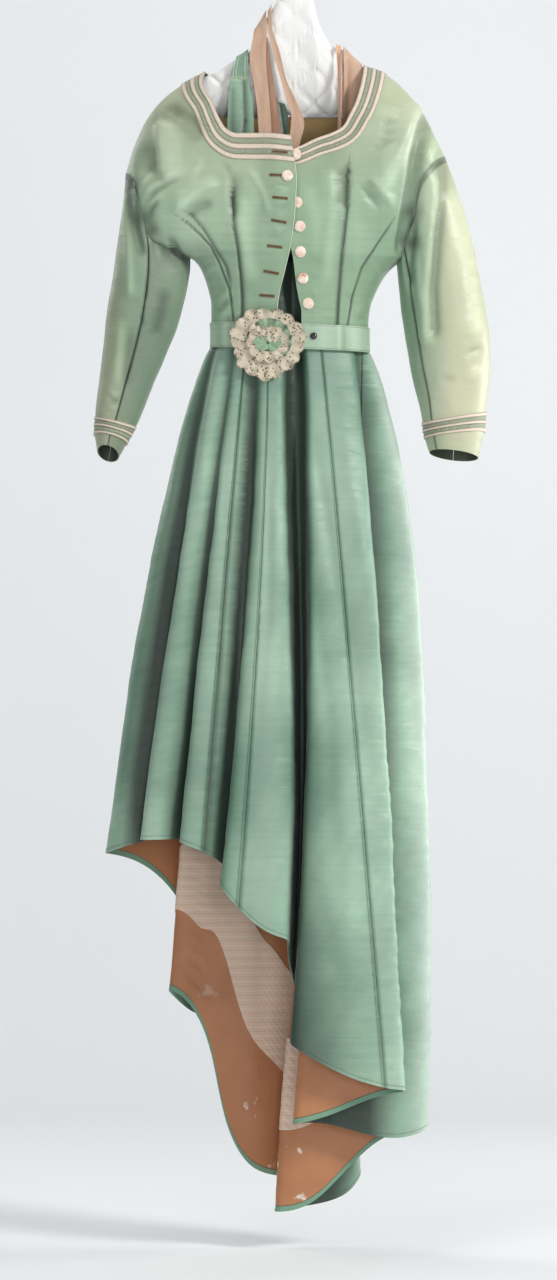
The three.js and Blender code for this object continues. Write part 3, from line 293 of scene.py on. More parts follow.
def normalised(vectors):
    return vectors / np.maximum(np.linalg.norm(vectors, axis=-1, keepdims=True), 1e-9)


def smooth_table(rows):
    """Smooth curve without overshoot through rows of (rising key, value)."""
    keys, values = np.array(rows, float).T
    slopes = np.diff(values) / np.diff(keys)
    before, after = slopes[:-1], slopes[1:]
    same = before * after > 0
    tangents = np.concatenate((slopes[:1], np.zeros(len(keys) - 2), slopes[-1:]))
    tangents[1:-1][same] = 2 * (before * after)[same] / (before + after)[same]

    def at(key):
        key = np.clip(key, keys[0], keys[-1])
        i = np.clip(np.searchsorted(keys, key) - 1, 0, len(keys) - 2)
        span = keys[i + 1] - keys[i]
        t = (key - keys[i]) / span
        return (
            (2 * t**3 - 3 * t**2 + 1) * values[i] + (t**3 - 2 * t**2 + t) * span * tangents[i]
            + (3 * t**2 - 2 * t**3) * values[i + 1] + (t**3 - t**2) * span * tangents[i + 1]
        )
    return at


def knot_points(v):
    """Points of all knots at the fractions v of their drops, [v][knot]; v below 0 is inside the bodice."""
    v = np.asarray(v, float)[:, None]
    turn = np.radians(FOLD["turn"])
    x = WAIST_X - (WAIST_HALF_WIDTH - FOLD["tuck"]) * signed_power(np.cos(turn), 0.833)
    y = -(WAIST_HALF_DEPTH - FOLD["tuck"]) * signed_power(np.sin(turn), 0.833)
    down = np.clip(v, 0, 1)
    narrow = 1 - 0.03 * ease(-v * 3)
    upper = down**0.6 * (1 - down) ** 1.1 / 0.3317
    lower = down**2.2 * (1 - down) ** 1.3 / 0.1116
    hung_x = lerp(x, FOLD["x"], down) + FOLD["bow"] * upper + FOLD["low"] * lower
    hung_y = lerp(y, FOLD["y"], down**0.8)
    above = v <= 0
    return np.stack([
        np.where(above, WAIST_X + (x - WAIST_X) * narrow, hung_x),
        np.where(above, y * narrow, hung_y),
        np.where(above, WAIST_Z - v * SKIRT_RISE, WAIST_Z - v * FOLD["drop"]),
    ], axis=-1)


def skirt_points(us, knots):
    """Points [v][u] of the uniform cubic B-spline through the knots' rows, closed."""
    first = np.floor(us).astype(int)
    t = us - first
    weights = ((1 - t) ** 3, 3 * t**3 - 6 * t**2 + 4, -3 * t**3 + 3 * t**2 + 3 * t + 1, t**3)
    return sum(
        (weight / 6)[None, :, None] * knots[:, (first - 1 + i) % KNOTS] for i, weight in enumerate(weights)
    )


# Soft waves of the cloth between the folds: direction in turns per metre, height and phase.
rng = np.random.default_rng(1865)


def wave_bank(count, shortest, longest, flatten):
    lengths = np.geomspace(shortest, longest, count)
    directions = normalised(rng.normal(size=(count, 3)) * np.array(flatten))
    steps = directions * (2 * math.pi / lengths)[:, None]
    return steps, lengths / lengths.mean(), rng.uniform(0, 6.28, count)


def waves(points, bank):
    steps, heights, phases = bank
    total = np.zeros(points.shape[:-1])
    for step, height, phase in zip(steps, heights, phases):
        total += height * np.sin(points @ step + phase)
    return total / math.sqrt(len(heights))


SOFT_WAVES = wave_bank(9, 130, 420, (1, 1, 0.7))
CRUMPLE = wave_bank(14, 34, 95, (0.5, 0.5, 1.2))
CROSS_RIPPLES = wave_bank(12, 17, 34, (0.25, 0.25, 1.0))

# Puckers along the seams: which seam, how wide, how high and how long each ripple is.
PUCKER_COLUMNS = ("knot", "width", "height", "length", "top", "bottom")
PUCKERS = [
    ("right_seam", 20, 0.9, 21, 0.25, 1.0),
    ("front_right_seam", 24, 1.2, 23, 0.2, 1.0),
    ("front_left_seam", 30, 1.1, 25, 0.3, 1.0),
    ("left_seam", 24, 1.0, 22, 0.3, 1.0),
    ("back_left_seam", 26, 1.2, 24, 0.2, 1.0),
    ("back_right_seam", 24, 1.1, 22, 0.2, 1.0),
    ("side_right_seam", 24, 1.1, 23, 0.2, 1.0),
    ("E_left_front", 46, 1.2, 29, 0.45, 1.0),
    ("F_side_front", 60, 1.7, 31, 0.3, 1.0),
    ("D_front", 30, 0.8, 27, 0.45, 1.0),
]
# Creases placed one by one: knot (with a part of the way to the next), share of the drop, half length
# down and half width across in mm, height (ridges above 0), lean across in mm per mm down.
CREASE_COLUMNS = ("knot", "share", "v", "long", "wide", "high", "lean")
CREASES = [
    ("A_front", 0.2, 0.30, 130, 15, 3.0, 0.03), ("A_front", 0.6, 0.55, 160, 11, -2.6, 0.02),
    ("A_side_front", 0.5, 0.72, 120, 16, 2.6, -0.05), ("AB_valley", 0.6, 0.42, 120, 12, -2.4, 0.06),
    ("B_edge_front", 0.6, 0.24, 110, 10, 2.6, 0.02), ("B_front", 0.1, 0.50, 170, 13, -3.0, 0.04),
    ("B_front", 0.4, 0.76, 120, 12, 2.4, -0.02), ("C_edge_front", 0.6, 0.33, 150, 9, -2.2, 0.03),
    ("right_seam", 0.3, 0.62, 150, 12, 2.8, 0.03), ("CD_valley", 0.5, 0.28, 90, 12, -2.2, -0.05),
    ("D_edge_front", 0.5, 0.22, 140, 10, 2.6, 0.03), ("front_right_seam", 0.5, 0.40, 190, 11, -3.2, -0.02),
    ("D_front", 0.0, 0.30, 130, 10, 2.2, 0.01), ("D_front", 0.5, 0.66, 160, 13, -2.8, 0.03),
    ("E_edge_front", 0.6, 0.22, 160, 13, 3.2, 0.02), ("E_front_1", 0.3, 0.45, 210, 14, -3.4, 0.05),
    ("E_front_1", 0.8, 0.20, 120, 11, -2.6, 0.08), ("E_front_2", 0.2, 0.66, 200, 16, 3.2, -0.03),
    ("E_front_2", 0.6, 0.32, 150, 12, -2.8, 0.06), ("E_front_1", 0.5, 0.84, 120, 20, -2.8, 0.22),
    ("front_left_seam", 0.4, 0.50, 180, 12, -2.6, 0.02), ("E_front_3", 0.3, 0.24, 140, 12, 2.8, 0.03),
    ("E_left_front", 0.3, 0.62, 150, 14, 3.0, -0.02), ("F_front_1", 0.5, 0.75, 180, 20, 3.2, 0.08),
    ("F_front_2", 0.4, 0.45, 220, 18, -3.4, 0.02), ("F_side_front", 0.5, 0.28, 180, 16, 3.0, 0.02),
    ("F_side_back", 0.6, 0.60, 210, 18, -3.2, -0.03), ("F_inside_2", 0.3, 0.45, 240, 22, 3.2, 0.02),
    ("F_inside_4", 0.2, 0.70, 200, 22, -3.0, 0.04), ("G_front_1", 0.3, 0.55, 220, 20, 3.2, -0.04),
    ("G_front_2", 0.4, 0.30, 180, 16, -3.0, 0.03), ("G_left_back", 0.4, 0.66, 220, 18, 3.4, 0.05),
    ("H_1", 0.4, 0.40, 210, 16, -3.2, 0.03), ("H_2", 0.5, 0.75, 240, 20, 3.4, -0.06),
    ("H_4", 0.2, 0.30, 160, 14, 3.0, 0.02), ("H_5", 0.4, 0.62, 180, 16, -3.0, 0.05),
    ("I_edge_front", 0.5, 0.45, 170, 12, 2.8, 0.03), ("I_inside", 0.5, 0.72, 180, 15, -3.0, -0.03),
    ("J_left_back", 0.4, 0.35, 160, 14, 3.0, 0.03), ("A_inside_1", 0.4, 0.60, 170, 16, -3.2, 0.05),
    ("A_inside_2", 0.4, 0.32, 150, 14, 3.0, -0.03), ("A_inside_2", 0.8, 0.74, 160, 14, -2.8, 0.02),
]
LENGTH_STEPS = 8                          # per knot, for lengths along the cloth


def skirt_surface(us, vs):
    """Points, outward normals and lengths along the cloth of the creased skirt, [v][u]."""
    knots = knot_points(vs)
    points = skirt_points(us, knots)
    step = skirt_points(us + 0.02, knots) - skirt_points(us - 0.02, knots)
    normals = normalised(np.stack([step[..., 1], -step[..., 0], np.zeros(step.shape[:-1])], axis=-1))
    ruler = np.arange(0, KNOTS * 2 + 1, 1 / LENGTH_STEPS)
    along = skirt_points(ruler, knots)
    steps = np.linalg.norm(np.diff(along, axis=1), axis=-1)
    lengths = np.concatenate((np.zeros((len(vs), 1)), np.cumsum(steps, axis=1)), axis=1)
    whole = lengths[:, KNOTS * LENGTH_STEPS]

    def length_at(where):
        return np.stack([np.interp(where[r], ruler, lengths[r]) for r in range(len(vs))])

    spread = np.broadcast_to(us, (len(vs), len(us)))
    reach = length_at(spread)

    def across(u):
        gap = reach - length_at(np.full((len(vs), 1), u))
        return (gap + whole[:, None] / 2) % whole[:, None] - whole[:, None] / 2

    depth = WAIST_Z - points[..., 2]
    share = np.clip(np.asarray(vs), 0, 1)[:, None]
    relief = np.zeros(reach.shape)
    for row in PUCKERS:
        pucker = dict(zip(PUCKER_COLUMNS, row))
        u = KNOT[pucker["knot"]]
        near = np.exp(-(across(u) / pucker["width"]) ** 2)
        uneven = 0.65 + 0.35 * np.sin(depth / 71 + u) * np.sin(depth / 117 + 2.3 * u)
        phase = depth / pucker["length"] + 0.8 * np.sin(depth / 57 + u) + across(u) / 90
        fade_in = ease((share - pucker["top"]) / 0.15) * ease((pucker["bottom"] - share) / 0.02)
        relief += pucker["height"] * near * uneven * fade_in * np.sin(2 * math.pi * phase)
    for row in CREASES:
        crease = dict(zip(CREASE_COLUMNS, row))
        u = KNOT[crease["knot"]] + crease["share"]
        down = depth - crease["v"] * np.interp(u, np.arange(KNOTS), FOLD["drop"])
        aside = across(u) - crease["lean"] * down - 4 * np.sin(down / 60)
        relief += crease["high"] * np.exp(-(down / crease["long"]) ** 2 - (aside / crease["wide"]) ** 2)
    hung = ease(share / 0.06)
    relief = relief * hung + hung * (1.7 * waves(points, SOFT_WAVES) + 0.38 * waves(points, CRUMPLE))
    beside = ((spread % KNOTS) - KNOT["F_front_2"]) / 9
    ripples = 0.1 + 0.5 * ease((share - 0.3) / 0.3) * np.exp(-beside**2)
    relief += hung * ripples * waves(points, CROSS_RIPPLES)
    return points + normals * relief[..., None], normals, reach


def hand_over(name, mesh, replaces=()):
    """A plain mesh becomes a piece, which rides on the gown's body."""
    made = add_object(name + "_made" if replaces else name, mesh)
    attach(made, BODY)
    if replaces:
        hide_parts(*replaces)
    return made


def smooth_mesh(name, points, faces, material):
    """A mesh from points in millimetres."""
    mesh = bpy.data.meshes.new(name)
    mesh.from_pydata((points * MM).tolist(), [], faces)
    mesh.polygons.foreach_set("use_smooth", [True] * len(mesh.polygons))
    mesh.materials.append(material)
    return mesh


def wall_quads(rows, columns, around):
    """Quads of a closed wall: outer grid first, then the inner one, with its edges."""
    steps = columns if around else columns - 1
    r, c = (grid.ravel() for grid in np.meshgrid(np.arange(rows - 1), np.arange(steps), indexing="ij"))
    n = (c + 1) % columns
    inner = rows * columns
    above, below = r * columns, (r + 1) * columns
    outer_quads = np.stack([above + c, above + n, below + n, below + c], 1)
    inner_quads = inner + outer_quads[:, ::-1]
    c = np.arange(steps)
    n = (c + 1) % columns
    low = (rows - 1) * columns
    top = np.stack([n, c, inner + c, inner + n], 1)
    bottom = np.stack([low + c, low + n, inner + low + n, inner + low + c], 1)
    parts = [outer_quads, inner_quads, top, bottom]
    if not around:
        r = np.arange(rows - 1) * columns
        parts.append(np.stack([r, r + columns, inner + r + columns, inner + r], 1))
        r = r + columns - 1
        parts.append(np.stack([r + columns, r, inner + r, inner + r + columns], 1))
    return np.concatenate(parts)


def outward(points, quads):
    a, b, c, d = (points[quads[:, i]] for i in range(4))
    volume = (np.cross(a, b) * c).sum() + (np.cross(a, c) * d).sum()
    return quads if volume > 0 else quads[:, ::-1]


SHARP_EDGE = math.radians(55)


def wall_piece(name, points, normals, near, far, uvs, material, around=False, stands=False, light_and_shade=None):
    """A thin closed wall on a grid of points, between two heights above it, which may stand for the node of
    its name. Its tones run from -1, painted shade in a hollow, to 1, a painted highlight on a ridge; the
    inside of a toned wall is painted dark as shade."""
    rows, columns = points.shape[:2]
    faces = [points + normals * (np.asarray(height)[..., None] if np.ndim(height) else height)
             for height in (far, near)]
    both = np.concatenate([face.reshape(-1, 3) for face in faces])
    quads = outward(both, wall_quads(rows, columns, around))
    mesh = smooth_mesh(name, both, quads.tolist(), material)
    mesh.set_sharp_from_angle(angle=SHARP_EDGE)
    corners = np.empty(len(mesh.loops), np.int32)
    mesh.loops.foreach_get("vertex_index", corners)
    flat = (np.tile(uvs.reshape(-1, 2), (2, 1))[corners] * MM).astype(np.float32)
    mesh.uv_layers.new(name="cloth").data.foreach_set("uv", flat.ravel())
    if light_and_shade is not None:
        # The outer face carries the painted highlight and shade; the inner face is all painted shade.
        tones = np.concatenate((np.clip(light_and_shade, -1, 1).ravel(), np.full(light_and_shade.size, -1.0))).astype(np.float32)
        mesh.attributes.new("light_and_shade", "FLOAT", "POINT").data.foreach_set("value", tones)
    return hand_over(name, mesh, (name,) if stands else ())


def grid_size(points, around=False):
    """Width, length and area in metres of the cloth that a grid of points stands for."""
    closed = np.concatenate((points, points[:, :1]), axis=1) if around else points
    widths = np.linalg.norm(np.diff(closed, axis=1), axis=-1).sum(1)
    lengths = np.linalg.norm(np.diff(points, axis=0), axis=-1).sum(0)
    across, down = closed[:-1, 1:] - closed[:-1, :-1], closed[1:, :-1] - closed[:-1, :-1]
    area = np.linalg.norm(np.cross(across, down), axis=-1).sum()
    return widths.max() * MM, lengths.max() * MM, area * MM * MM


def declare_sheet(points, around=False):
    width, length, area = grid_size(points, around)
    area = min(max(area, 0.301 * width * length), width * length)


def blend(colour, white, share):
    """A colour scaled by share and lifted by white."""
    return tuple(white + share * c for c in colour[:3]) + (1.0,)


def taffeta(name, lit, shade, straw=None, roughness=0.4):
    """Shot silk: soft blotches of two tones, slubs along the weft, a crisp crumple and a fine rib, with
    painted highlight and painted shade from the piece's tones.
    """
    look = Look(name, {"Roughness": roughness, "Sheen Weight": 0.25, "Sheen Roughness": 0.35,
                       "Specular IOR Level": 0.55, "Anisotropic": 0.35})
    broad = look.noise(look.place, 3.4, 3.0)
    slub = look.noise(look.stretch(look.cloth, 5.0, 130.0, 1.0), 1.0, 4.0)
    streak = look.noise(look.stretch(look.cloth, 26.0, 1.6, 1.0), 1.0)
    colour = look.mix(look.spread(broad, 0.35, 0.65), shade, lit)
    colour = look.toned(colour, 0.75, look.spread(streak, 0.3, 0.7, 0.9, 1.1))
    colour = look.toned(colour, 0.8, look.spread(slub, 0.25, 0.75, 0.93, 1.07))
    if straw is not None:
        spot = look.split(look.place)
        high = look.spread(spot[2], -0.46, -0.26, 0.0, 0.8)
        left = look.spread(spot[0], 0.205, 0.27)
        right = look.spread(spot[0], -0.265, -0.32, 0.0, 0.75)
        aged = look.maths("MAXIMUM", high, look.maths("MAXIMUM", left, right))
        aged = look.maths("MULTIPLY", aged, look.spread(broad, 0.3, 0.7, 0.55, 0.95))
        colour = look.mix(aged, colour, straw)
    # Painted light: the piece's tones above 0 paint a highlight paler than the lit tone; below 0 they paint
    # shade down to nearly black.
    light_and_shade = node(look.tree, "ShaderNodeAttribute", attribute_name="light_and_shade").outputs["Fac"]
    colour = look.mix(look.spread(light_and_shade, 0.0, 1.0, 0.0, 0.4), colour, blend(lit, 0.55, 0.45))
    colour = look.mix(look.spread(light_and_shade, -1.0, 0.0, 0.94, 0.0), colour, blend(shade, 0, 0.12))
    crumple = look.noise(look.stretch(look.place, 16.0, 16.0, 46.0), 1.0, 3.0, 0.6)
    rib = look.noise(look.stretch(look.cloth, 1.0, 950.0, 1.0), 1.0, 1.0)
    return look.finish(colour, look.bump(rib, 0.12, 0.0005, look.bump(crumple, 0.32, 0.006)))


skirt_silk = taffeta("skirt_silk", srgb(152, 184, 160), srgb(100, 136, 114), roughness=0.46)

HOLLOW_REACH = 9                          # quarter knots on each side that a hollow is measured against
RIDGE_TONE = 0.32                         # painted highlight of the outermost ridges, before the tones below
HOLLOW_SCALE = 26                         # mm of depth for a whole step from painted highlight towards painted shade
# Painted shade (below 0) and painted highlight (above 0) along a fold that the depth alone doesn't give, from
# the waist down: width in knots.
FOLD_TONE_COLUMNS = ("knot", "share", "wide", "top", "bottom", "amount")
FOLD_TONES = [
    ("A_inside_2", 0.0, 2.0, -0.1, 1.2, -0.5),
    ("A_front", 0.2, 0.8, -0.1, 1.1, -0.45),
    ("AB_valley", 0.0, 0.8, -0.1, 1.2, -0.8),
    ("BC_valley", 0.0, 0.8, -0.1, 1.2, -0.8),
    ("CD_valley", 0.0, 0.8, -0.1, 1.2, -0.9),
    ("D_edge_back", 0.0, 0.6, -0.1, 0.6, -0.5),
    ("slit_floor", 0.0, 2.3, -0.1, 0.7, -1.4),
    ("E_inside_1", 0.5, 2.0, -0.1, 1.2, -0.9),
    ("F_edge_back", 0.5, 1.7, -0.1, 0.8, -0.6),
    ("F_side_front", 0.2, 1.5, -0.1, 1.3, 0.8),
    ("G_left_front", 0.5, 1.2, 0.3, 1.3, 0.5),
]


def skirt_light_and_shade(us, vs):
    """Painted highlight, 1, on the outermost ridges of the folds, down to painted shade, -1, in the depth of
    the hollows and inside the bodice.
    """
    ruler = np.arange(-4, KNOTS * 2 + 5, 0.25)
    along = skirt_points(ruler, knot_points(vs))
    low, high = along.min(1, keepdims=True), along.max(1, keepdims=True)
    half = (high - low)[..., :2] / 2
    rho = np.hypot(*np.moveaxis((along - (low + high) / 2)[..., :2] / half, -1, 0))
    windows = np.lib.stride_tricks.sliding_window_view(rho, 2 * HOLLOW_REACH + 1, axis=1)
    depth = (windows.max(-1) - rho[:, HOLLOW_REACH:-HOLLOW_REACH]) * half[..., 1]
    inner = ruler[HOLLOW_REACH:-HOLLOW_REACH]
    deep = np.stack([np.interp(us, inner, row) for row in depth])
    tone = RIDGE_TONE - deep / HOLLOW_SCALE
    share = np.asarray(vs)[:, None]
    for row in FOLD_TONES:
        fold = dict(zip(FOLD_TONE_COLUMNS, row))
        aside = (us - KNOT[fold["knot"]] - fold["share"] + KNOTS / 2) % KNOTS - KNOTS / 2
        fades = ease((share - fold["top"]) / 0.1) * ease((fold["bottom"] - share) / 0.3)
        tone = tone + fold["amount"] * np.exp(-(aside / fold["wide"]) ** 2)[None, :] * fades
    # Inside the bodice, above the waist, the silk is painted dark as shade.
    return np.where(share < -0.02, -1, np.clip(tone, -1, 1))


GORES = [
    ("skirt_side_right", "side_right_seam", "right_seam"),
    ("skirt_front_right", "right_seam", "front_right_seam"),
    ("skirt_front_centre", "front_right_seam", "front_left_seam"),
    ("skirt_side_left", "front_left_seam", "left_seam"),
    ("skirt_back_left", "left_seam", "back_left_seam"),
    ("skirt_back_centre", "back_left_seam", "back_right_seam"),
    ("skirt_back_right", "back_right_seam", "side_right_seam"),
]
STEPS_A_KNOT = 6
DOWN_STEPS = 160
SEAM_EDGE = 0.05                          # of a knot: the last bit of silk that turns down into the seam
SEAM_DIP = 1.1
SEAM_TONE = 0.6                           # how much darker the silk beside a seam is
gore_levels = np.concatenate((np.linspace(-1, -0.08, 6), np.linspace(0, 1, DOWN_STEPS)))

for name, start, end in GORES:
    first = KNOT[start]
    last = KNOT[end] + (KNOTS if KNOT[end] < first else 0)
    inner = np.linspace(first + SEAM_EDGE, last - SEAM_EDGE, (last - first) * STEPS_A_KNOT)
    us = np.concatenate(([first + 0.004], inner, [last - 0.004]))
    points, normals, reach = skirt_surface(us, gore_levels)
    dip = np.zeros(reach.shape)
    dip[:, [0, -1]] = -SEAM_DIP
    uvs = np.stack([reach, WAIST_Z - points[..., 2]], axis=-1)
    # Painted highlight on the folds' outer ridges and painted shade in their hollows, darker beside the
    # seams.
    light_and_shade = skirt_light_and_shade(us, gore_levels)
    light_and_shade[:, [0, 1, -2, -1]] -= SEAM_TONE
    gore = wall_piece(name, points + normals * dip[..., None], normals, -SILK, 0.0, uvs, skirt_silk,
                      stands=True, light_and_shade=light_and_shade)
    declare_sheet(points)

# ------------------------------------------------------------------ lining, facing and binding
# The train is lined with glazed brown cotton; a strip of checked cotton crosses it above the hem,
# and a green woven binding covers the hem's inner edge all round. All follow the creased silk.
LINER = 1.0
BRAID = 1.2
BINDING_WIDTH = 9
LINING_NEAR = -SILK - GAP


def drop_at(us):
    return WAIST_Z - skirt_points(us, knot_points([1.0]))[0, :, 2]


def hem_band(us, high, low, rows):
    """Skirt surface between two heights above the hem, as [row][u]; heights in mm for each u."""
    drops = drop_at(us)
    levels = np.linspace(0, 1, rows)[:, None]
    wanted = 1 - lerp(high, low, levels) / drops
    dense = np.linspace(wanted.min() - 0.005, 1, max(40, int((1 - wanted.min()) * DOWN_STEPS * 1.1)))
    points, normals, reach = skirt_surface(us, dense)
    spot = np.interp(wanted, dense, np.arange(len(dense)))
    lower = np.clip(np.floor(spot).astype(int), 0, len(dense) - 2)
    part = (spot - lower)[..., None]
    column = np.broadcast_to(np.arange(len(us)), spot.shape)
    grids = [lerp(grid[lower, column], grid[lower + 1, column], part) for grid in (points, normals)]
    along = lerp(reach[lower, column], reach[lower + 1, column], part[..., 0])
    return grids[0], grids[1], np.stack([along, drops * wanted], axis=-1)


def cotton(name, base, fleck, roughness, check=None, scuffed=False):
    """Plain woven cotton; check gives the windowpane's two line colours, scuffed adds pale wear."""
    look = Look(name, {"Roughness": roughness, "Specular IOR Level": 0.4})
    colour = look.mix(look.spread(look.noise(look.place, 7.0, 4.0), 0.32, 0.68), fleck, base)
    if check is not None:
        threads = look.split(look.cloth)
        for axis, pitch in ((0, 0.0125), (1, 0.0155)):
            for offset, width, tone, amount in ((0.0, 0.11, check[0], 0.75), (0.5, 0.06, check[1], 0.5)):
                phase = look.maths("FRACT", look.maths("MULTIPLY_ADD", threads[axis], 1 / pitch, offset))
                line = look.maths("MULTIPLY", look.maths("LESS_THAN", phase, width), amount)
                colour = look.mix(line, colour, tone)
    if scuffed:
        spots = look.spread(look.noise(look.place, 26.0, 5.0), 0.655, 0.70)
        low = look.spread(look.split(look.place)[2], -1.72, -2.05)
        colour = look.mix(look.maths("MULTIPLY", spots, low), colour, srgb(226, 214, 200))
    weave = look.noise(look.stretch(look.cloth, 900.0, 900.0, 1.0), 1.0, 1.0)
    crumple = look.noise(look.place, 42.0, 3.0)
    return look.finish(colour, look.bump(weave, 0.2, 0.0004, look.bump(crumple, 0.35, 0.004)))


brown_cotton = cotton("brown_glazed_cotton", srgb(190, 131, 91), srgb(167, 109, 73), 0.36, scuffed=True)
checked_cotton = cotton("checked_cotton", srgb(234, 203, 179), srgb(217, 186, 163), 0.8,
                        check=(srgb(226, 214, 202), srgb(172, 152, 138)))
binding_weave = cotton("binding_weave", srgb(128, 164, 138), srgb(108, 146, 124), 0.65)

LINING_TOP = 0.49
lining_us = np.linspace(KNOT["E_left_back"], KNOT["A_side_back"],
                        (KNOT["A_side_back"] - KNOT["E_left_back"]) * (STEPS_A_KNOT - 1))
lining_drops = drop_at(lining_us)
points, normals, uvs = hem_band(lining_us, lining_drops * (1 - LINING_TOP),
                                np.full(len(lining_us), BINDING_WIDTH + 1.0), DOWN_STEPS // 2)
lining = wall_piece("train_lining", points, normals, LINING_NEAR - LINER, LINING_NEAR, uvs, brown_cotton,
                    stands=True)
lining_points = points

# How far the checked strip's two edges lie above the hem.
FACING_EDGES = [
    ("F_inside_2", 120, 235), ("F_inside_3", 139, 270), ("G_edge_front", 139, 294),
    ("G_left_back", 150, 310), ("H_1", 168, 343), ("H_2", 197, 382), ("H_3", 214, 401),
    ("H_4", 233, 440), ("H_5", 194, 330), ("back_right_seam", 139, 265), ("I_edge_front", 139, 250),
    ("I_edge_back", 132, 240), ("J_left_front", 120, 225),
]
facing_low = smooth_table([(KNOT[name], low) for name, low, high in FACING_EDGES])
facing_high = smooth_table([(KNOT[name], high) for name, low, high in FACING_EDGES])
facing_us = np.linspace(KNOT["F_inside_2"], KNOT["J_left_front"],
                        (KNOT["J_left_front"] - KNOT["F_inside_2"]) * (STEPS_A_KNOT - 1))
points, normals, uvs = hem_band(facing_us, facing_high(facing_us), facing_low(facing_us), DOWN_STEPS // 5)
facing_near = LINING_NEAR - LINER - 0.6
facing = wall_piece("train_facing_check", points, normals, facing_near - LINER, facing_near, uvs,
                    checked_cotton, stands=True)
declare_sheet(points)

binding_us = np.arange(KNOTS * STEPS_A_KNOT) / STEPS_A_KNOT
full = np.full(len(binding_us), 1.0)
points, normals, uvs = hem_band(binding_us, full * BINDING_WIDTH, full * 0, 4)
binding = wall_piece("hem_binding", points, normals, LINING_NEAR - BRAID, LINING_NEAR, uvs, binding_weave,
                     around=True, stands=True)
declare_sheet(lining_points)


def grow_on_paths(name, paths, make_tree, inputs, material):
    """Run a node tree over smooth paths given in millimetres and keep the result as a plain mesh."""
    curve = bpy.data.curves.new(name + "_paths", "CURVE")
    curve.dimensions = "3D"
    for path in paths:
        spline = curve.splines.new("POLY")
        spline.points.add(len(path) - 1)
        flat = np.concatenate((np.asarray(path) * MM, np.ones((len(path), 1))), axis=1)
        spline.points.foreach_set("co", flat.astype(np.float32).ravel())
    carrier = add_object(name + "_paths", curve)
    tree = make_tree(material)
    modifier = carrier.modifiers.new("grow", "NODES")
    modifier.node_group = tree
    for item in tree.interface.items_tree:
        if item.in_out == "INPUT" and item.name in inputs:
            modifier[item.identifier] = inputs[item.name]
    bpy.context.view_layer.update()
    evaluated = carrier.evaluated_get(bpy.context.evaluated_depsgraph_get())
    mesh = bpy.data.meshes.new_from_object(evaluated)
    bpy.data.objects.remove(carrier)
    mesh.name = name
    mesh.polygons.foreach_set("use_smooth", [True] * len(mesh.polygons))
    return hand_over(name, mesh)


def tree_with_inputs(name, labels):
    tree = bpy.data.node_groups.new(name, "GeometryNodeTree")
    tree.interface.new_socket("Geometry", in_out="INPUT", socket_type="NodeSocketGeometry")
    for label in labels:
        tree.interface.new_socket(label, in_out="INPUT", socket_type="NodeSocketFloat")
    tree.interface.new_socket("Geometry", in_out="OUTPUT", socket_type="NodeSocketGeometry")
    return tree, tree.nodes.new("NodeGroupInput").outputs


def end_tree(tree, geometry, material):
    real = node(tree, "GeometryNodeRealizeInstances", {0: geometry}).outputs[0]
    finished = node(tree, "GeometryNodeSetMaterial", {"Geometry": real, "Material": material}).outputs[0]
    tree.links.new(finished, tree.nodes.new("NodeGroupOutput").inputs[0])
    return tree


def running_stitch(material):
    """Short stitches laid end to end along the paths."""
    tree, given = tree_with_inputs("running_stitch", ("Pitch", "Length", "Radius"))
    spaced = node(tree, "GeometryNodeCurveToPoints", {"Curve": given["Geometry"], "Length": given["Pitch"]},
                  mode="LENGTH")
    stitch = node(tree, "GeometryNodeMeshCylinder", {
        "Vertices": 4, "Radius": given["Radius"], "Depth": given["Length"]}).outputs[0]
    turned = node(tree, "FunctionNodeAlignRotationToVector", {"Vector": spaced.outputs["Tangent"]}, axis="Z")
    laid = node(tree, "GeometryNodeInstanceOnPoints", {
        "Points": spaced.outputs["Points"], "Instance": stitch, "Rotation": turned.outputs[0]}).outputs[0]
    return end_tree(tree, laid, material)


def round_thread(material):
    """A round thread or cord along the paths."""
    tree, given = tree_with_inputs("round_thread", ("Radius",))
    profile = node(tree, "GeometryNodeCurvePrimitiveCircle", {"Resolution": 5, "Radius": given["Radius"]})
    tube = node(tree, "GeometryNodeCurveToMesh", {
        "Curve": given["Geometry"], "Profile Curve": profile.outputs[0], "Fill Caps": True}).outputs[0]
    return end_tree(tree, tube, material)


def sew(name, paths, sizes, material):
    """Stitches along the paths; sizes are the pitch, the length and the thread's radius in metres."""
    inputs = dict(zip(("Pitch", "Length", "Radius"), sizes))
    return grow_on_paths(name, paths, running_stitch, inputs, material)


def lay_cord(name, paths, radius, material):
    return grow_on_paths(name, paths, round_thread, {"Radius": radius}, material)


def thread(name, colour, ridge):
    look = Look(name, {"Roughness": 0.7, "Sheen Weight": 0.2})
    tone = look.noise(look.place, 180.0)
    return look.finish(look.mix(tone, ridge, colour), look.bump(tone, 0.4, 0.0003))


# Machine stitches along the hem and down the sides of every gore seam.
seam_thread = thread("seam_thread", srgb(70, 104, 84), srgb(50, 80, 64))
STITCH_LIE = 0.25
hem_us = np.linspace(0, KNOTS, KNOTS * 12 + 1)
points, normals, uvs = hem_band(hem_us, np.full(len(hem_us), 8.2), np.full(len(hem_us), 6.4), 2)
hem_path = points[1] + normals[1] * STITCH_LIE
seam_paths = [hem_path]
seam_levels = np.linspace(0.015, 0.995, DOWN_STEPS)
for name, start, end in GORES:
    points, normals, reach = skirt_surface(np.array([KNOT[start] - 0.11, KNOT[start] + 0.11]), seam_levels)
    seam_paths += [points[:, 0] + normals[:, 0] * STITCH_LIE]
sew("skirt_stitches", seam_paths, (0.0042, 0.003, 0.00034), seam_thread)

